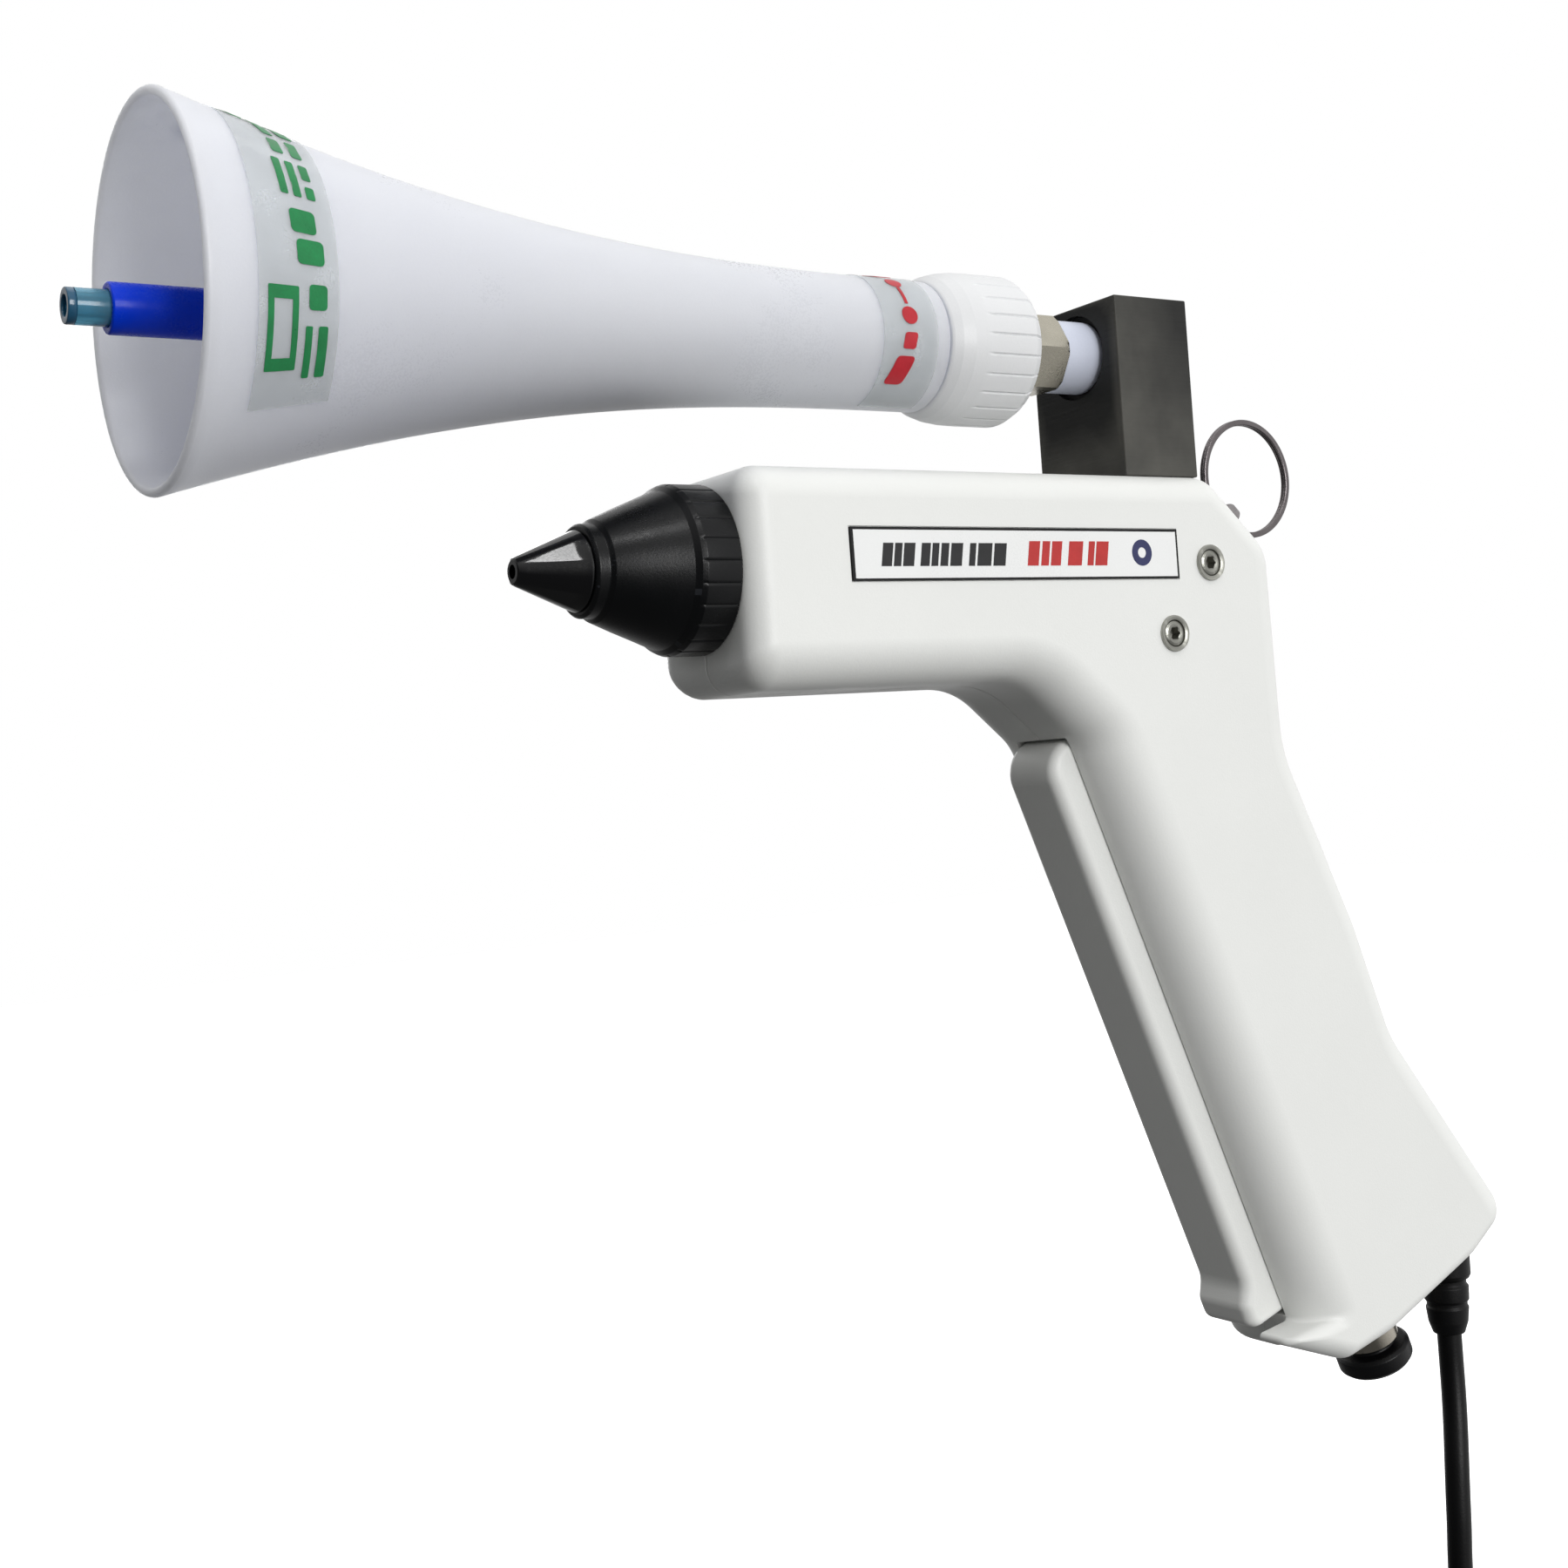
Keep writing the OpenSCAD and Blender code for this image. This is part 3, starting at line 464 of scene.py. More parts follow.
def trigger_ring(s, y):
    """The trigger's outline s below its side face."""
    return at_y([grip(p.x, p.y) for p in ring2(TRIG, s, 0, 12)], y)


steps = [0, 0.04, 0.13, 0.27, 0.46, 0.7, 0.98, 1.3, 1.7, 2.4]
rings = [trigger_ring(s, s - TRIG_W / 2) for s in steps]
rings += [trigger_ring(s, TRIG_W / 2 - s) for s in reversed(steps)]
trigger = solid("trigger_paddle", [loft(rings)])
cut(trigger, [rod_y(PIV, 1.56, -9, 9)])
pocket = [grip(30, -PROUD + 2.4), grip(115, -PROUD + 2.4), grip(115, 2.2), grip(30, 2.2)]
cut(trigger, [prism(pocket, -5, 5)])
weigh(trigger)

# ---------------------------------------------------------------- horn side
MOUTH_X, NECK_X, MOUTH_R, NECK_R, HORN_WALL = -213.4, -72.0, 30.0, 12.0, 1.6
HORN_LEN = NECK_X - MOUTH_X


def horn_r(s):
    """The horn's outer radius at a share of its length."""
    return NECK_R + (MOUTH_R - NECK_R) * (max(0, s) ** (2.9 - 0.6 * s))


def horn_x(s):
    return NECK_X + (MOUTH_X - NECK_X) * s


N = 80
outer = [(horn_r(i / N), horn_x(i / N)) for i in range(N + 1)]
lip = [(MOUTH_R - 0.8 + 0.8 * math.cos(a), MOUTH_X - 0.8 * math.sin(a))
       for a in [math.pi * j / 10 for j in range(1, 10)]]
inner = [(horn_r(i / N) - HORN_WALL, horn_x(i / N)) for i in range(N, -1, -1)]
horn = solid("horn", [about_x([(11, -54.6), (11, NECK_X + 0.4)] + outer + lip + inner
                              + [(9.6, NECK_X + 1), (9.6, -54.6)], HORN_Z, 216)])

RIBS = 24


def collar_shape(f, r, h):
    """Fine grooves along the collar, fading out to the front."""
    if r < 12.4 or not -64.4 < h < -51.2:
        return r
    w = abs(((f + 180 / RIBS) % (360 / RIBS)) - 180 / RIBS)
    fade = min(1, (h + 64.4) / 1.6)
    return r - 0.34 * fade * max(0, 1 - w / 1.25) ** 0.7


def stations(a, b, n):
    """Points between a and b."""
    return [(a[0] + (b[0] - a[0]) * i / n, a[1] + (b[1] - a[1]) * i / n) for i in range(1, n)]


collar_line = rounded([(11.05, -71.55), (12.0, -71.55), (12.35, -71.1), (13.1, -69.6),
                       (13.75, -67.2), (14.1, -64.4), (14.2, -61), (14.2, -53.2), (12.9, -51),
                       (4.9, -50.9), (4.9, -53.4), (11.05, -53.4)], 0.8, 5)
full = []
for a, b in zip(collar_line, collar_line[1:] + collar_line[:1]):
    full.append(a)
    if a[0] > 13 and b[0] > 13 and abs(a[1] - b[1]) > 2:
        full += stations(a, b, 6)
collar = solid("horn_collar", [about_x(full, HORN_Z, RIBS * 24, collar_shape)], 40)

nipple = solid("hex_fitting", [
    about_x(rounded([(4.2, -50.9), (7.5, -50.9), (8.08, -50.3), (8.08, -40.1), (7.5, -39.5),
                     (4.2, -39.5)], 0.15), HORN_Z, 192, hexed(14)),
    about_x([(2.5, -56), (4.7, -56), (4.85, -55.6), (4.85, -24.2), (2.5, -24.2)], HORN_Z)], 24)
spacer = solid("white_spacer", [about_x(rounded(
    [(4.9, -39.5), (7, -39.5), (7, -30.3), (4.9, -30.3)], 0.45, 5), HORN_Z, 128)])

WHIP_Z = HORN_Z - 2.4  # the whirling tube sits off the horn's axis
hub = solid("rotor_hub_cap", [
    about_x(rounded([(1.6, -73.4), (7.6, -73.4), (7.6, -69.8), (5, -69.8), (5, -59.2),
                     (1.6, -59.2)], 0.4), HORN_Z, 96),
    lathe(rounded([(1.6, -80), (4.8, -80), (4.8, -73), (1.6, -73)], 0.5), (0, 0, WHIP_Z),
          (1, 0, 0), 96),
    about_x(rounded([(1.6, -59.3), (6.6, -59.3), (6.6, -57.4), (1.6, -57.4)], 0.3), HORN_Z, 96)])
tube = solid("whip_clear_tube", [about_x(
    [(1.6, -224.6), (2.75, -224.6), (2.75, -75.1), (1.6, -75.1)], WHIP_Z, 72)])
sleeve = solid("whip_blue_sleeve", [about_x(rounded(
    [(2.77, -219.8), (3.9, -219.8), (3.9, -80.2), (2.77, -80.2)], 0.35, 5), WHIP_Z, 96)])
end_ring = solid("whip_end_band", [about_x(rounded(
    [(1.6, -225.9), (2.75, -225.9), (2.75, -224.6), (1.6, -224.6)], 0.2, 4), WHIP_Z, 72)])


def horn_patch(loop, off, thick, rings=5):
    """A thin piece lying on the horn: loop holds (share of the horn, degrees from the top
    towards the near side)."""
    c = Vector((sum(p[0] for p in loop), sum(p[1] for p in loop))) / len(loop)

    def lay(p, lift):
        r = horn_r(p.x) + lift
        f = math.radians(p.y)
        return Vector((horn_x(p.x), -r * math.sin(f), HORN_Z + r * math.cos(f)))
    n = len(loop)
    verts, faces = [], []
    for lift in (off, off + thick):
        verts.append(lay(c, lift))
        for k in range(1, rings + 1):
            verts += [lay(c + (Vector(p) - c) * (k / rings), lift) for p in loop]
    size = 1 + rings * n
    for b in (0, size):
        faces += [(b, b + 1 + i, b + 1 + (i + 1) % n) for i in range(n)]
        faces += [(b + 1 + k * n + i, b + 1 + k * n + (i + 1) % n,
                   b + 1 + (k + 1) * n + (i + 1) % n, b + 1 + (k + 1) * n + i)
                  for k in range(rings - 1) for i in range(n)]
    e = 1 + (rings - 1) * n
    faces += [(e + i, e + (i + 1) % n, size + e + (i + 1) % n, size + e + i) for i in range(n)]
    return verts, faces


def patch_box(s0, s1, f0, f1, lean=0.0, r=0.2):
    """A rounded four-sided loop between two shares of the horn and two angles."""
    pts = [(s0, f0), (s1, f0), (s1, f1), (s0, f1)]
    wide, tall = abs(s1 - s0) * HORN_LEN, math.radians(abs(f1 - f0)) * horn_r((s0 + s1) / 2)
    loop = rounded([(1 + (p[0] - s0) / (s1 - s0) * wide, (p[1] - f0) / (f1 - f0) * tall)
                    for p in pts], min(r * min(wide, tall), 1.2), 3)
    out = []
    for x, y in loop:
        for_y = y / tall
        out.append((s0 + (x - 1) / wide * (s1 - s0) + lean * (for_y - 0.5),
                    f0 + for_y * (f1 - f0)))
    dense = []
    for a, b in zip(out, out[1:] + out[:1]):
        steps_here = max(1, int(abs(a[1] - b[1]) / 5), int(abs(a[0] - b[0]) / 0.012))
        dense += [(a[0] + (b[0] - a[0]) * i / steps_here, a[1] + (b[1] - a[1]) * i / steps_here)
                  for i in range(steps_here)]
    return dense


def film(name, s0, s1, f0, f1, cols, rows):
    """A clear film on the horn, with small creases along its length."""
    verts, faces = [], []
    for lift in (0.05, 0.2):
        for j in range(rows + 1):
            for i in range(cols + 1):
                s = s0 + (s1 - s0) * i / cols
                f = f0 + (f1 - f0) * j / rows
                edge = min(i, cols - i, j, rows - j) > 0
                wave = 0.05 * math.sin(f * 0.55 + 9 * i / cols) * math.sin(i * 0.9 + f * 0.21)
                r = horn_r(s) + lift + (max(-0.04, wave) if edge and lift > 0.1 else 0)
                a = math.radians(f)
                verts.append(Vector((horn_x(s), -r * math.sin(a), HORN_Z + r * math.cos(a))))
    w = cols + 1
    size = w * (rows + 1)
    for b in (0, size):
        faces += [(b + j * w + i, b + j * w + i + 1, b + (j + 1) * w + i + 1, b + (j + 1) * w + i)
                  for j in range(rows) for i in range(cols)]
    edge = [j * w for j in range(rows)] + [rows * w + i for i in range(cols)]
    edge += [j * w + cols for j in range(rows, 0, -1)] + [i for i in range(cols, 0, -1)]
    faces += [(a, b, size + b, size + a) for a, b in zip(edge, edge[1:] + edge[:1])]
    return solid(name, [(verts, faces)])


mouth_film = film("mouth_film", 0.856, 0.948, -10, 138, 16, 90)
neck_film = film("neck_film", 0.02, 0.105, -5, 170, 14, 100)
green = [patch_box(0.906, 0.93, -2, 8, -0.004), patch_box(0.87, 0.892, 3, 15, -0.004),
         patch_box(0.918, 0.934, 14, 27, -0.006), patch_box(0.897, 0.909, 12, 38, -0.008),
         patch_box(0.87, 0.886, 21, 35, -0.004), patch_box(0.893, 0.906, 42, 50),
         patch_box(0.872, 0.884, 40, 50), patch_box(0.903, 0.912, 54, 69),
         patch_box(0.888, 0.897, 54, 69), patch_box(0.872, 0.882, 54, 61),
         patch_box(0.872, 0.882, 64, 69), patch_box(0.878, 0.907, 74, 82),
         patch_box(0.872, 0.903, 84, 92), patch_box(0.905, 0.938, 99, 103),
         patch_box(0.905, 0.938, 121, 125), patch_box(0.931, 0.938, 99, 125),
         patch_box(0.903, 0.91, 99, 125), patch_box(0.87, 0.891, 98, 106),
         patch_box(0.886, 0.894, 111, 128), patch_box(0.868, 0.879, 111, 128)]
green_marks = solid("mouth_film_marks", [horn_patch(p, 0.17, 0.1) for p in green])


def disc_loop(s, f, r, n=20):
    """A round loop of radius r at a share of the horn and an angle."""
    k = math.degrees(1 / horn_r(s))
    turns = [2 * math.pi * i / n for i in range(n)]
    return [(s + r / HORN_LEN * math.cos(a), f + r * k * math.sin(a)) for a in turns]


red = [patch_box(0.052, 0.078, 8, 22, -0.01), disc_loop(0.062, 38, 1.6),
       patch_box(0.0595, 0.0645, 46, 66), disc_loop(0.062, 77, 1.7),
       patch_box(0.054, 0.074, 92, 106, 0.004), patch_box(0.06, 0.088, 112, 138, 0.012)]
red_marks = solid("neck_film_marks", [horn_patch(p, 0.17, 0.1, 4) for p in red])

# ---------------------------------------------------------------- riser block
block = solid("riser", [brick((-31.8, -12.45, TOP), (-12.9, 12.45, 139.5))])
soften(block, 0.35, 3, 60)
block.modifiers.clear()
cut(block, [rod((MAST_X, 0, 100), (MAST_X, 0, HORN_Z), 2.6)])
cut(block, [about_x([(0, -33), (8.2, -33), (8.2, -30.3), (4.9, -30.3), (4.9, -24), (2.65, -24),
                     (2.65, -19.6), (0, -19.6)], HORN_Z)])
cut(block, [rod((MAST_X, s, 100), (MAST_X, s, 136), 2.2) for s in (-7.5, 7.5)])
cut(block, [rod((MAST_X, s, 135.3), (MAST_X, s, 141), 3.7) for s in (-7.5, 7.5)])
weigh(block)


def block_screw(y):
    """A socket screw that holds the block to the body."""
    base = 139.5 - 4.2
    head = rounded([(0, base + 1.6), (1.55, base + 1.6), (1.55, base + 4), (3.5, base + 4),
                    (3.5, base), (2, base), (2, 92.5), (0, 92.5)], 0.25, 3)
    return upright(head, MAST_X, y, 72, hex_hole(2.9, 1.56))


block_screws = solid("riser_screws", [block_screw(-7.5), block_screw(7.5)])


# ---------------------------------------------------------------- plate and cups
INK_Y = (-HW - 0.34, -HW - 0.28)  # the ink's outer and inner face


def marks(name, shapes):
    """Flat printed marks on the plate."""
    return solid(name, [prism(p, *INK_Y) for p in shapes], 60)


def slanted(x, z, w, h, lean=0.9):
    """A bar that leans like a slanted print."""
    return [(x, z), (x + w, z), (x + w + lean, z + h), (x + lean, z + h)]


# the dark plate that shows round the white face: partly a printed black border, partly painted
# shadow of the plate's edge along its sides
plate_border_and_edge_shade = solid("plate_border_and_painted_edge_shadow", [brick((-101.1, -HW - 0.25, 84), (-24.5, -HW + 0.35, 93.4))])
plate_face = solid("plate_face", [brick((-100.55, -HW - 0.3, 84.4), (-25.0, -HW - 0.2, 92.9))])
black_bars, red_bars = [], []
for x, w in [(-95, 2.2), (-92.4, 1.6), (-90.4, 2.4), (-86.6, 2.0), (-84.2, 1.5), (-82.2, 1.7),
             (-80, 2.6), (-75.8, 1.4), (-73.9, 3.2), (-70.2, 2.8)]:
    black_bars.append(slanted(x, 86.5, w, 4.1, 0.7))
for x, w in [(-62.2, 2.6), (-59, 1.8), (-56.7, 2.4), (-52.6, 3.4), (-47.8, 1.5), (-45.9, 3.0)]:
    red_bars.append(slanted(x, 86.5, w, 4.5, 0.8))
plate_black = marks("plate_marks_black", black_bars)
plate_red = marks("plate_marks_red", red_bars)
plate_dot = solid("plate_mark_navy", [lathe(
    [(1.0, INK_Y[0]), (2.5, INK_Y[0]), (2.5, INK_Y[1]), (1.0, INK_Y[1])],
    (-33.9, 0, 88.9), (0, 1, 0), 48)], 60)

cup_ring = [(2.0, -16.1), (2.56, -17.05), (2.62, -17.35), (3.2, -17.62), (3.42, -17.6),
            (3.5, -17.45), (3.5, -17.0), (2.98, -17), (2.98, -11.4), (1.7, -11.4),
            (1.7, -13.4), (2.0, -13.6)]


def cup_screw(p):
    """A socket screw in one of the washer cups."""
    pts = rounded([(0, -15.2), (1.3, -15.2), (1.3, -17.32), (1.9, -17.4), (2.42, -17.2),
                   (2.5, -16.8), (2.5, -13.5), (1.6, -13.5), (1.6, -5.5), (0, -5.5)], 0.12, 3)
    return lathe(pts, (p[0], 0, p[1]), (0, 1, 0), 72, hex_hole(2.3, 1.31))


cups = solid("washer_cups", [lathe(cup_ring, (p[0], 0, p[1]), (0, 1, 0), 96) for p in CUPS])
cup_screws = solid("cup_screw_heads", [cup_screw(p) for p in CUPS], 28)

# ---------------------------------------------------------------- nose
NOSE_RIB = 15  # degrees from one groove of the back ring to the next
TIP_X = -157.2
TIP_FLAT = 62  # degrees from the top to the middle of the first of four flats


def nose_shape(f, r, h):
    """Grooves round the nose's back ring."""
    if r < 14 or not -128.6 < h < -121.6:
        return r
    w = abs(((f + NOSE_RIB / 2) % NOSE_RIB) - NOSE_RIB / 2)
    return r - 0.22 * max(0, 1 - w / 1.1)


nose_line = rounded([(5.02, -145.5), (7.5, -145.5), (7.95, -145.0), (8.0, -143.1), (8.75, -142.5),
                     (10.6, -138.0), (12.3, -133.6), (13.65, -130.2), (14.4, -129.3),
                     (14.8, -128.4), (14.8, -121.52), (11.5, -121.52), (11.5, -113),
                     (9.5, -113), (9.5, -129), (6.6, -140), (5.02, -140)], 0.5, 4)
nose = solid("nose_cone_black", [about_x(nose_line, NOSE_Z, 360, nose_shape)], 38)


def tip_shape(f, r, h):
    """Four flats cut into the tip's cone."""
    if h > -146.6 or r < 2.1:
        return r
    w = ((f - TIP_FLAT + 45) % 90) - 45
    flat = 2.35 + (h - TIP_X) * 0.365
    return min(r, flat / math.cos(math.radians(w))) if abs(w) < 30 else r


tip_line = [(1.2, TIP_X), (1.9, TIP_X), (2.25, TIP_X + 0.15), (2.5, TIP_X + 0.6)]
tip_line += [(2.5 + 4.2 * i / 12, -156.6 + 10.3 * i / 12) for i in range(1, 12)]
tip_line += [(6.7, -146.3), (6.88, -145.9), (6.9, -145.6), (5, -145.5), (5, -139.5),
             (3.8, -139.5), (3.8, -147), (1.2, -153.5)]
tip = solid("nozzle", [about_x(tip_line, NOSE_Z, 288, tip_shape)], 20)

# ---------------------------------------------------------------- inlet, gland, ring
inlet = solid("inlet_body", [
    about_grip(rounded([(4.05, 131), (5.5, 131), (5.5, 140.2), (4.05, 140.2)], 0.2), 96),
    about_grip(rounded([(4.05, 139.9), (6.4, 139.9), (7.0, 140.5), (7.0, 146.3), (6.4, 146.9),
                        (5.12, 146.9), (5.12, 145.9), (4.05, 145.9)], 0.12), 192, hexed(12.12)),
    about_grip(rounded([(5.1, 146.5), (6.4, 146.5), (6.4, 150.4), (5.1, 150.4)], 0.25), 96)], 24)
sleeve_ring = solid("release_sleeve", [about_grip(rounded(
    [(4.05, 147.6), (5.0, 147.6), (5.0, 151.8), (7.3, 151.8), (8, 152.5), (8, 155.3), (7.2, 156.2),
     (4.7, 156.2), (4.05, 155.6)], 0.4, 4), 128)])
relief_line = rounded([
    (2.62, -50), (5.1, -50), (5.1, -52.2), (4.25, -52.2), (4.25, -60.9), (5.3, -62.2),
    (5.4, -62.9), (5.4, -67.0), (5.0, -67.8), (4.35, -68.1), (4.35, -69.1), (4.8, -69.7),
    (4.7, -72.6), (4.3, -73.1), (4.3, -73.8), (4.55, -74.3), (4.2, -77.4), (3.35, -79.9),
    (2.62, -80)], 0.35, 4)
relief = solid("cord_strain_relief", [upright(relief_line, GLAND[0], GLAND[1], 96)])

RING_C = Vector((13.05, 106.72))


def ring_wire():
    """Two turns of flat wire side by side, with a step where they cross over."""
    section = rounded([(1.6, -0.36), (1.6, 0.36), (0.4, 0.36), (0.4, -0.36)], 0.26, 4)
    section = [(x - 1, y) for x, y in section]
    n = 216
    rings_here = []
    for i in range(n + 1):
        turn = 2 * i / n
        move = min(1, max(0, (turn - 0.9) / 0.2))
        move = move * move * (3 - 2 * move)
        y = -0.38 + 0.76 * move
        f = math.radians(225) + 2 * math.pi * turn
        d = Vector((math.cos(f), 0, math.sin(f)))
        c = Vector((RING_C.x, y, RING_C.y)) + d * 11.8
        rings_here.append([c + d * a + Vector((0, 1, 0)) * b for a, b in section])
    return loft(rings_here)


key_ring = solid("hanging_ring", [ring_wire()], 50)
lug_at = Vector((EYE.x, 0, EYE.y))
lug_axis = Vector((0.751, 0, -0.66))
lug = solid("ring_eye", [prism(lug_outline(0), -4, 4)])
cut(lug, [lathe([(0, -0.8), (4, -0.8), (4, 0.8), (0, 0.8)], lug_at, lug_axis, 64)], "UNION")
cut(lug, [lathe([(0, -2), (2.4, -2), (2.4, 2), (0, 2)], lug_at, lug_axis, 64)])
weigh(lug)

# ---------------------------------------------------------------- coil tie and plug
tie_out, tie_in = 3 * STRAND / 2 + 2.0, 3 * STRAND / 2 + 0.5


def frame_loop(a, r, z):
    """A rounded square round the coil's strands."""
    base = rounded([(100 - a, -a), (100 + a, -a), (100 + a, a), (100 - a, a)], r, 5)
    return [Vector((COIL.x + z, COIL.y + x - 100, COIL.z + COIL_R + y)) for x, y in base]


tie_rings = [frame_loop(tie_in, 3.2, -4.5), frame_loop(tie_out - 0.3, 4.2, -4.5),
             frame_loop(tie_out, 4.5, -4.2), frame_loop(tie_out, 4.5, 4.2),
             frame_loop(tie_out - 0.3, 4.2, 4.5), frame_loop(tie_in, 3.2, 4.5)]
n = len(tie_rings[0])
tv = [p for r in tie_rings for p in r]
tf = [(j * n + i, j * n + (i + 1) % n, ((j + 1) % 6) * n + (i + 1) % n, ((j + 1) % 6) * n + i)
      for j in range(6) for i in range(n)]
tie = solid("coil_tie", [(tv, tf)])
tie_tab = soften(solid("coil_tie_tab", [brick(
    (COIL.x - 3.8, COIL.y - 2, COIL.z + COIL_R + tie_out - 0.1),
    (COIL.x + 3.8, COIL.y + 7, COIL.z + COIL_R + tie_out + 0.5))]), 0.25)

PLUG = Vector((45.8, 2.9, -216))


def plug_ring(w, h, z, k=40):
    """One cross-section of the plug: a rounded hexagon that flattens to an oval."""
    out = []
    for i in range(k):
        a = 2 * math.pi * i / k
        c, s = math.cos(a), math.sin(a)
        e = 2 / 3.2
        out.append(PLUG + Vector((w * math.copysign(abs(c) ** e, c),
                                  h * math.copysign(abs(s) ** e, s), z)))
    return out


plug = solid("plug", [loft([
    plug_ring(3.2, 3.2, 0), plug_ring(3.5, 3.5, -0.5), plug_ring(3.8, 3.8, -6),
    plug_ring(4.6, 4.3, -11), plug_ring(7.5, 5.2, -14), plug_ring(12.5, 6.2, -17),
    plug_ring(15.8, 6.6, -20), plug_ring(16.8, 6.8, -24), plug_ring(17, 6.8, -29),
    plug_ring(17, 6.7, -33.2),
    plug_ring(16.6, 6.3, -33.9), plug_ring(15.8, 5.6, -34)])], 50)
pins = []
for s in (-9.5, 9.5):
    x, y, z = PLUG.x + s, PLUG.y, PLUG.z - 34
    pins.append(upright([(0, z), (2, z), (2, z - 17.2), (1.7, z - 18), (1.1, z - 18.5),
                         (0, z - 18.6)], x, y, 48))
plug_pins = solid("plug_pin_pair", pins)


# ---------------------------------------------------------------- materials
def srgb(r, g, b):
    """A colour of 0 to 255 as linear values."""
    return tuple((c / 255 / 12.92 if c <= 10 else ((c / 255 + 0.055) / 1.055) ** 2.4)
                 for c in (r, g, b)) + (1.0,)


IOR = 1.48
ROUGH_CHANGE = 0.06


def finish_of(name, colour, rough, metal=0.0, spread=0.03, patch=45, grain=2600, depth=0.02,
              stretch=(1, 1, 1), edge_wear_and_highlight=None, edge_wear_and_highlight_from=0.54, coat=0.0, clear=0.0, alpha=1.0,
              level=0.5, sub=0.0, sub_mm=2.0):
    """A finish with slow colour change, its own grain in bump and roughness, and sharp edges
    lightened: partly wear, partly a painted highlight.
    """
    m = bpy.data.materials.new(name)
    m.use_nodes = True
    nt = m.node_tree
    nd = nt.nodes
    p = nd["Principled BSDF"]
    p.inputs["Metallic"].default_value = metal
    p.inputs["IOR"].default_value = IOR
    p.inputs["Coat Weight"].default_value = coat
    p.inputs["Coat Roughness"].default_value = 0.08
    p.inputs["Transmission Weight"].default_value = clear
    p.inputs["Alpha"].default_value = alpha
    p.inputs["Specular IOR Level"].default_value = level
    p.inputs["Subsurface Weight"].default_value = sub
    p.inputs["Subsurface Radius"].default_value = (1, 1, 1)
    p.inputs["Subsurface Scale"].default_value = sub_mm * S
    at = nd.new("ShaderNodeTexCoord")
    turn = nd.new("ShaderNodeMapping")
    turn.inputs["Scale"].default_value = stretch
    nt.links.new(at.outputs["Object"], turn.inputs["Vector"])

    def noise(scale, detail=3.0, src=turn):
        t = nd.new("ShaderNodeTexNoise")
        t.inputs["Scale"].default_value = scale
        t.inputs["Detail"].default_value = detail
        nt.links.new(src.outputs["Vector" if src is turn else "Object"], t.inputs["Vector"])
        return t.outputs["Fac"]

    def span(fac, lo, hi, a=0.3, b=0.7):
        r = nd.new("ShaderNodeMapRange")
        r.inputs["From Min"].default_value = a
        r.inputs["From Max"].default_value = b
        r.inputs["To Min"].default_value = lo
        r.inputs["To Max"].default_value = hi
        nt.links.new(fac, r.inputs["Value"])
        return r.outputs["Result"]

    def blend(fac, a, b):
        x = nd.new("ShaderNodeMix")
        x.data_type = "RGBA"
        nt.links.new(fac, x.inputs["Factor"])
        for k, v in ((6, a), (7, b)):
            if isinstance(v, tuple):
                x.inputs[k].default_value = v
            else:
                nt.links.new(v, x.inputs[k])
        return x.outputs[2]

    c = srgb(*colour)
    lo = tuple(v * (1 - spread) for v in c[:3]) + (1.0,)
    hi = tuple(min(1, v * (1 + spread)) for v in c[:3]) + (1.0,)
    slow = noise(patch, 4.0, at)
    tint = blend(span(slow, 0, 1), lo, hi)
    fine = noise(grain, 2.0)
    tint = blend(span(fine, 0, 0.5), tint, tuple(v * (1 - spread * 1.5) for v in c[:3]) + (1.0,))
    # sharp edges lightened by pointiness: partly wear, partly a painted edge highlight
    if edge_wear_and_highlight:
        geo = nd.new("ShaderNodeNewGeometry")
        rub_and_highlight = nd.new("ShaderNodeMath")
        rub_and_highlight.operation = "MULTIPLY"
        nt.links.new(span(geo.outputs["Pointiness"], 0, 1, edge_wear_and_highlight_from, edge_wear_and_highlight_from + 0.05), rub_and_highlight.inputs[0])
        nt.links.new(span(slow, 0.25, 1), rub_and_highlight.inputs[1])
        tint = blend(rub_and_highlight.outputs[0], tint, srgb(*edge_wear_and_highlight))
    nt.links.new(tint, p.inputs["Base Color"])
    even = nd.new("ShaderNodeMath")
    even.operation = "ADD"
    nt.links.new(span(slow, -ROUGH_CHANGE, ROUGH_CHANGE), even.inputs[0])
    half = ROUGH_CHANGE * 0.5
    nt.links.new(span(fine, rough - half, rough + half), even.inputs[1])
    nt.links.new(even.outputs[0], p.inputs["Roughness"])
    bump = nd.new("ShaderNodeBump")
    bump.inputs["Strength"].default_value = min(1, depth * 10)
    bump.inputs["Distance"].default_value = 0.0001
    nt.links.new(fine, bump.inputs["Height"])
    wavy = nd.new("ShaderNodeBump")
    wavy.inputs["Strength"].default_value = min(1, depth * 4)
    wavy.inputs["Distance"].default_value = 0.0004
    nt.links.new(slow, wavy.inputs["Height"])
    nt.links.new(wavy.outputs["Normal"], bump.inputs["Normal"])
    nt.links.new(bump.outputs["Normal"], p.inputs["Normal"])
    return m
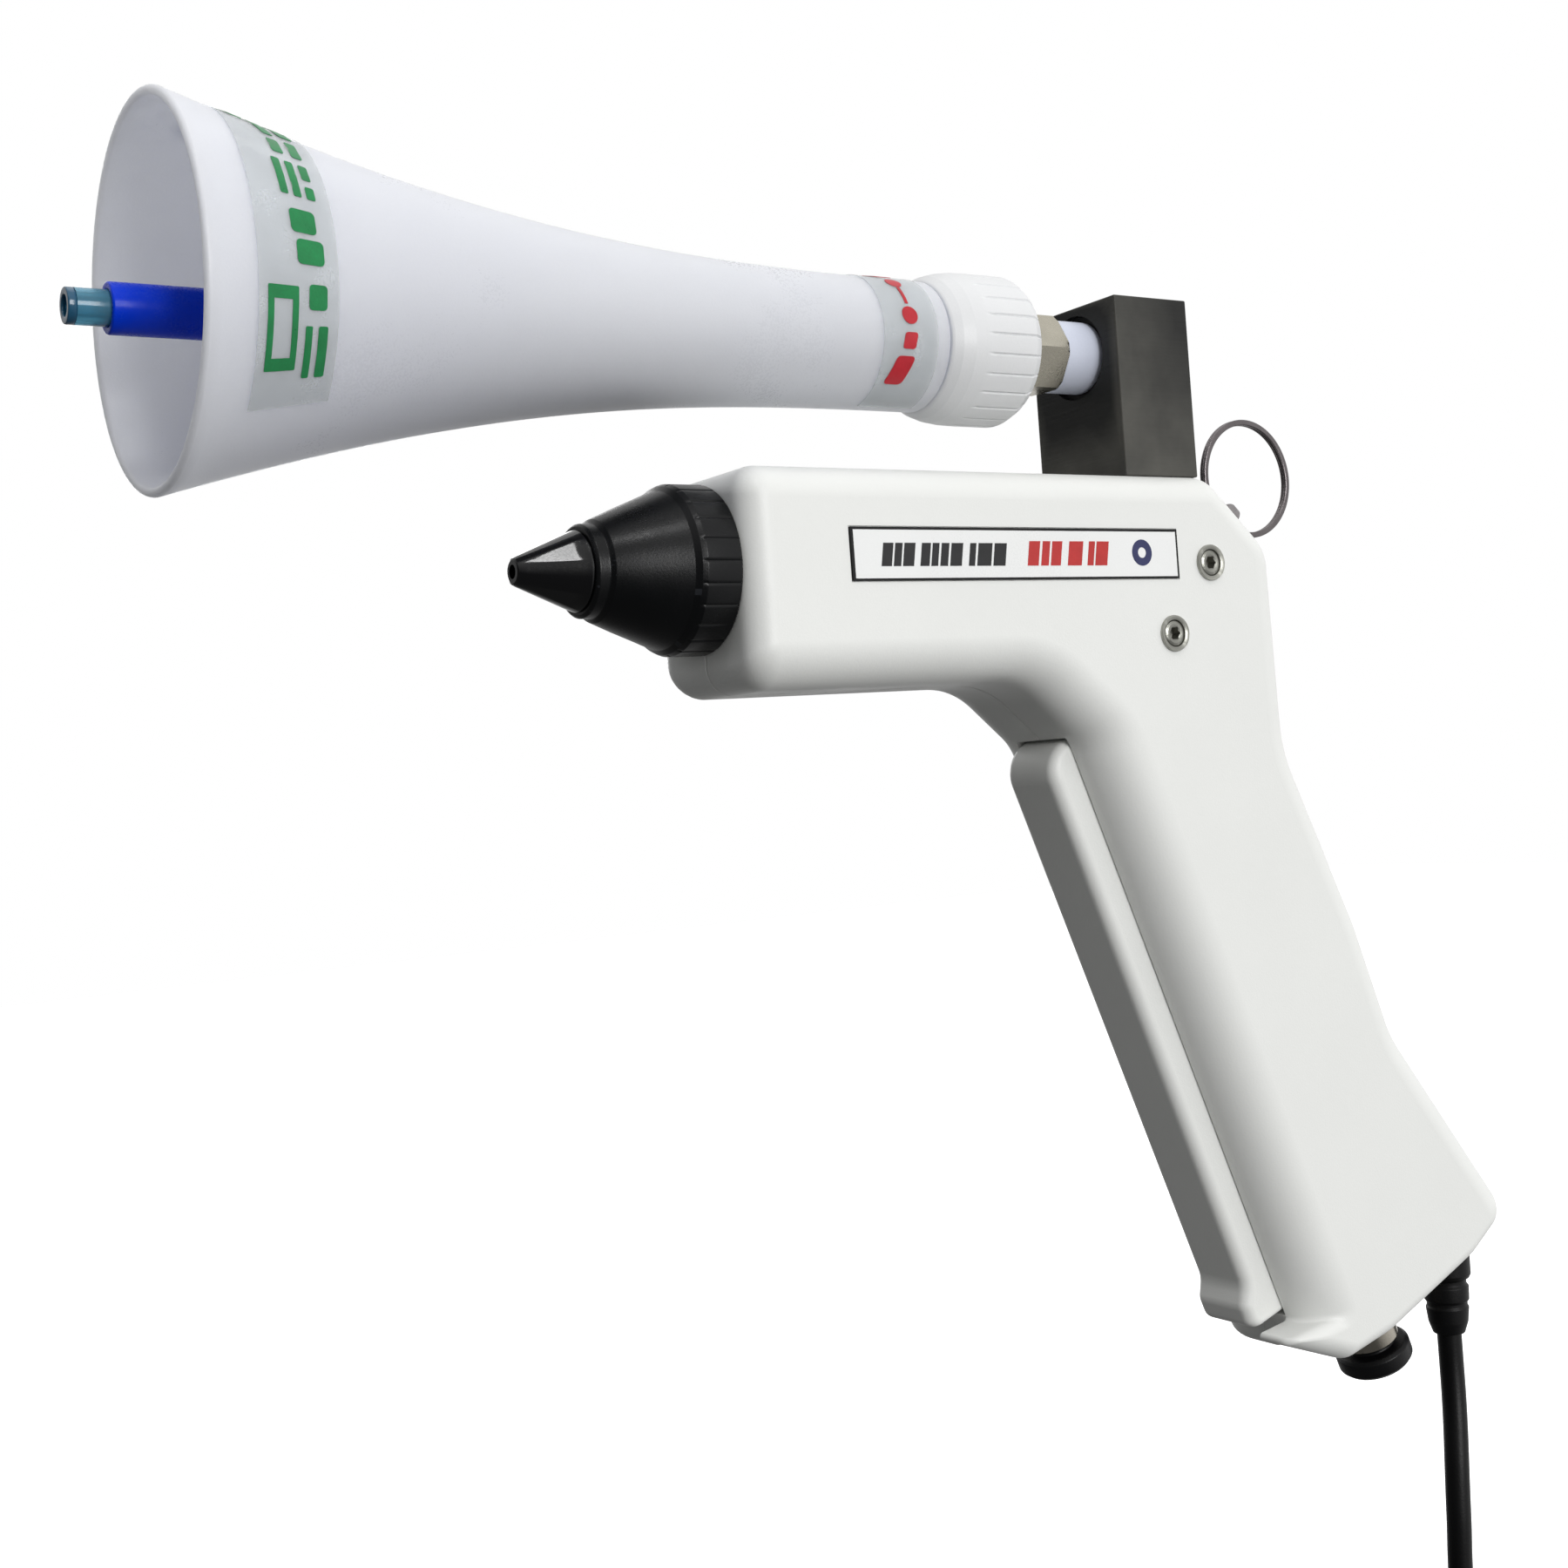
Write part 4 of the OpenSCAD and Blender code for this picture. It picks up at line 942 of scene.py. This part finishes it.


# the lighter edge colours given below are partly wear and partly a painted edge highlight
LOOK = {
    "shell_white": finish_of("shell_moulded_white", (231, 232, 229), 0.42, spread=0.012, depth=0.02,
                             sub=0.05, edge_wear_and_highlight=(238, 239, 238), edge_wear_and_highlight_from=0.56),
    "plate_white": finish_of("plate_printed_white", (236, 237, 236), 0.3, spread=0.02, depth=0.01),
    "zinc_steel": finish_of("zinc_plated_steel", (150, 150, 143), 0.36, 1.0, spread=0.12, patch=300,
                            depth=0.03, edge_wear_and_highlight=(190, 190, 182)),
    "trigger_white": finish_of("trigger_moulded_white", (228, 229, 226), 0.4, spread=0.014,
                               depth=0.02, sub=0.05),
    "ground_steel": finish_of("ground_pin_steel", (170, 171, 172), 0.22, 1.0, spread=0.06,
                              stretch=(1, 0.05, 1)),
    "brass": finish_of("turned_brass", (190, 160, 95), 0.3, 1.0, spread=0.1, stretch=(1, 1, 0.1)),
    "stainless": finish_of("stainless_rod", (185, 186, 188), 0.25, 1.0, spread=0.06),
    "black_rubber": finish_of("seal_rubber", (24, 24, 25), 0.62, spread=0.15, depth=0.03),
    "spring_steel": finish_of("spring_wire_steel", (140, 141, 145), 0.3, 1.0, spread=0.1),
    "black_tube": finish_of("air_tube_black", (25, 26, 28), 0.4, spread=0.12, depth=0.02),
    "black_plastic": finish_of("moulded_black", (10, 10, 12), 0.4, spread=0.15, depth=0.03,
                               level=0.3),
    "red_plastic": finish_of("button_red", (172, 34, 28), 0.4, spread=0.06),
    "nickel": finish_of("nickel_fitting", (186, 180, 168), 0.24, 1.0, spread=0.08, depth=0.02),
    "aluminium": finish_of("aluminium_manifold", (178, 180, 182), 0.38, 1.0, spread=0.06,
                           stretch=(0.08, 1, 1)),
    "block_black": finish_of("block_blackened_metal", (35, 35, 34), 0.5, 0.0, spread=0.1, patch=60,
                             grain=1500, depth=0.04, stretch=(0.04, 0.04, 1), edge_wear_and_highlight=(84, 83, 78),
                             edge_wear_and_highlight_from=0.57, level=0.25),
    "spacer_white": finish_of("spacer_nylon", (206, 211, 226), 0.4, spread=0.03),
    "warm_nickel": finish_of("hex_warm_nickel", (196, 191, 176), 0.27, 1.0, spread=0.07, patch=240,
                             depth=0.025, edge_wear_and_highlight=(226, 222, 208)),
    "horn_white": finish_of("horn_moulded_white", (228, 232, 249), 0.33, spread=0.012, depth=0.012,
                            sub=0.9, sub_mm=7.0),
    "collar_white": finish_of("collar_moulded_white", (225, 226, 227), 0.4, spread=0.016,
                              depth=0.02, sub=0.05),
    "clear_cyan": finish_of("tube_clear_cyan", (92, 160, 186), 0.14, spread=0.06, clear=0.55,
                            depth=0.006),
    "blue_sleeve": finish_of("sleeve_deep_blue", (0, 60, 226), 0.26, spread=0.05, patch=120,
                             depth=0.008, coat=0.06, level=0.16, sub=0.1),
    "dark_cyan": finish_of("band_dark_cyan", (34, 88, 118), 0.2, spread=0.06, coat=0.3),
    "label_film": finish_of("film_clear_grey", (214, 219, 219), 0.14, spread=0.1, alpha=0.34,
                            patch=160, depth=0.02, coat=0.4),
    "nose_black": finish_of("nose_moulded_black", (6, 7, 9), 0.33, spread=0.16, patch=90,
                            depth=0.016, edge_wear_and_highlight=(40, 42, 46), edge_wear_and_highlight_from=0.58, level=0.3),
    "tip_black": finish_of("tip_polished_black", (6, 6, 8), 0.13, spread=0.15, depth=0.006,
                           coat=0.25, level=0.4),
    "ceramic": finish_of("ceramic_holder", (226, 222, 210), 0.3, spread=0.03),
    "board_green": finish_of("board_green_mask", (20, 92, 52), 0.3, spread=0.12, patch=400),
    "potting": finish_of("potting_resin", (34, 34, 38), 0.25, spread=0.12),
    "red_wire": finish_of("wire_red", (166, 28, 26), 0.4, spread=0.06),
    "dark_steel": finish_of("ring_dark_steel", (118, 113, 114), 0.3, 1.0, spread=0.12, patch=260,
                            depth=0.03, edge_wear_and_highlight=(170, 166, 166)),
    "cord_black": finish_of("cord_sheath_black", (7, 7, 8), 0.42, spread=0.16, depth=0.03,
                            level=0.25),
    "pin_brass": finish_of("plug_pin_nickel", (196, 190, 164), 0.25, 1.0, spread=0.06),
}
INK = {
    "black": finish_of("ink_black", (22, 22, 24), 0.4, spread=0.12, patch=500),
    "red": finish_of("ink_red", (186, 40, 38), 0.4, spread=0.08, patch=500),
    "navy": finish_of("ink_navy", (40, 46, 92), 0.4, spread=0.1, patch=500),
    "green": finish_of("ink_green", (2, 126, 66), 0.35, spread=0.14, patch=300),
    "film_red": finish_of("ink_film_red", (186, 24, 40), 0.35, spread=0.12, patch=300),
}


def piece(o, body, slot_name, stands_for=(), ink=None):
    """Gives a piece its finish, body, slot and the CAD nodes that it replaces."""
    o.data.materials.clear()
    o.data.materials.append(INK[ink] if ink else LOOK[slot_name])
    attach(o, body)
    if stands_for:
        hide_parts(*stands_for)
    return o


piece(cord, "gun", "cord_black", ["power_cord", "cord_coil", "cord_tail"])
piece(left_shell, "gun", "shell_white", ["left_body_shell"])
piece(right_shell, "gun", "shell_white", ["right_body_shell"])
piece(plate_border_and_edge_shade, "gun", "black_plastic", ["name_plate"])
piece(plate_face, "gun", "plate_white")
piece(plate_black, "gun", "plate_white", ink="black")
piece(plate_red, "gun", "plate_white", ink="red")
piece(plate_dot, "gun", "plate_white", ink="navy")
piece(cups, "gun", "zinc_steel", ["screw_cups"])
piece(cup_screws, "gun", "zinc_steel", ["body_screws"])
piece(trigger, "trigger", "trigger_white", ["trigger"])
piece(horn, "gun", "horn_white", ["vortex_horn"])
piece(collar, "gun", "collar_white", ["collar_nut"])
piece(nipple, "gun", "warm_nickel", ["hex_nipple"])
piece(spacer, "gun", "spacer_white", ["spacer_sleeve"])
piece(hub, "whip", "black_plastic", ["rotor_hub"])
piece(tube, "whip", "clear_cyan", ["whip_tube"])
piece(sleeve, "whip", "blue_sleeve", ["whip_sleeve"])
piece(end_ring, "whip", "dark_cyan", ["whip_end_ring"])
piece(mouth_film, "gun", "label_film", ["mouth_label"])
piece(neck_film, "gun", "label_film", ["neck_label"])
piece(green_marks, "gun", "label_film", ink="green")
piece(red_marks, "gun", "label_film", ink="film_red")
piece(block, "gun", "block_black", ["riser_block"])
piece(block_screws, "gun", "black_plastic", ["block_screws"])
piece(nose, "gun", "nose_black", ["nose_cone"])
piece(tip, "gun", "tip_black", ["nozzle_tip"])
piece(inlet, "gun", "nickel", ["inlet_fitting"])
piece(sleeve_ring, "release", "black_plastic", ["release_ring"])
piece(relief, "gun", "cord_black", ["strain_relief"])
piece(key_ring, "hanger", "dark_steel", ["split_ring"])
piece(lug, "gun", "dark_steel", ["ring_lug"])
piece(tie, "gun", "black_plastic", ["cord_tie"])
piece(tie_tab, "gun", "black_plastic")
piece(plug, "gun", "cord_black", ["plug_body"])
piece(plug_pins, "gun", "pin_brass", ["plug_pins"])

KEPT = {
    "shell_screws": "zinc_steel", "trigger_pin": "ground_steel", "valve_body": "brass",
    "valve_end_cap": "brass", "valve_stem": "stainless", "valve_seal": "black_rubber",
    "valve_spring": "spring_steel", "supply_tube": "black_tube", "delivery_tube": "black_tube",
    "microswitch": "black_plastic", "switch_button": "red_plastic", "inlet_seal": "black_rubber",
    "air_manifold": "aluminium", "nose_tube": "aluminium", "horn_bush": "brass",
    "needle_holder": "ceramic", "emitter_needle": "stainless",
    "high_voltage_module": "potting", "circuit_board": "board_green", "emitter_lead": "red_wire",
    "power_lead": "black_tube"}
for node, slot_name in KEPT.items():
    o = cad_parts[node]
    o.data.materials.clear()
    o.data.materials.append(LOOK[slot_name])

# ---------------------------------------------------------------- studio
FLOOR_Z, FLOOR_HALF = -285, 4000
floor = solid("studio_floor", [brick((-FLOOR_HALF, -FLOOR_HALF, FLOOR_Z - 5),
                                     (FLOOR_HALF, FLOOR_HALF, FLOOR_Z))])
floor.data.materials.append(finish_of("floor_pale", (250, 250, 250), 0.7, spread=0.004, patch=3))
shader = floor.data.materials[0].node_tree.nodes["Principled BSDF"]
shader.inputs["Emission Color"].default_value = (1, 1, 1, 1)
shader.inputs["Emission Strength"].default_value = 0.72
floor.visible_diffuse = False
floor.visible_glossy = False


def lamp(name, at, size, power, aim=(0, 0, 0.03)):
    """A square soft light."""
    d = bpy.data.lights.new(name, "AREA")
    d.shape = "SQUARE"
    d.size = size
    d.energy = power
    o = bpy.data.objects.new(name, d)
    bpy.context.scene.collection.objects.link(o)
    o.location = at
    o.rotation_euler = (Vector(aim) - Vector(at)).to_track_quat("-Z", "Y").to_euler()
    return o


lamp("key", (-0.06, -1.95, 0.42), 0.9, 21)
lamp("top", (0.1, 0.2, 1.2), 0.7, 0.9)
lamp("back", (0.25, 1.9, 0.55), 0.9, 6)
lamp("glint", (-0.29, -0.53, 0.91), 0.13, 0.8, (-0.152, 0, 0.077))

world = bpy.data.worlds.new("studio")
bpy.context.scene.world = world
world.use_nodes = True
wn = world.node_tree.nodes
wl = world.node_tree.links
direction = wn.new("ShaderNodeTexCoord")
aim = wn.new("ShaderNodeVectorMath")
aim.operation = "DOT_PRODUCT"
aim.inputs[1].default_value = Vector((0.66, 0, 0.75))
shade = wn.new("ShaderNodeValToRGB")
shade.color_ramp.elements[0].position = 0.27
shade.color_ramp.elements[0].color = (0.1, 0.1, 0.1, 1)
shade.color_ramp.elements[1].position = 0.72
shade.color_ramp.elements[1].color = (0.85, 0.85, 0.85, 1)
half_up = wn.new("ShaderNodeMapRange")
half_up.inputs["From Min"].default_value = -1
half_up.inputs["From Max"].default_value = 1
wl.new(direction.outputs["Generated"], aim.inputs[0])
wl.new(aim.outputs["Value"], half_up.inputs["Value"])
wl.new(half_up.outputs["Result"], shade.inputs["Fac"])
wl.new(shade.outputs["Color"], wn["Background"].inputs["Color"])
plain = wn.new("ShaderNodeBackground")
plain.inputs["Color"].default_value = (1, 1, 1, 1)
seen = wn.new("ShaderNodeLightPath")
either = wn.new("ShaderNodeMixShader")
wl.new(seen.outputs["Is Camera Ray"], either.inputs["Fac"])
wl.new(wn["Background"].outputs["Background"], either.inputs[1])
wl.new(plain.outputs["Background"], either.inputs[2])
wl.new(either.outputs["Shader"], wn["World Output"].inputs["Surface"])
bpy.context.scene.view_settings.view_transform = "Standard"
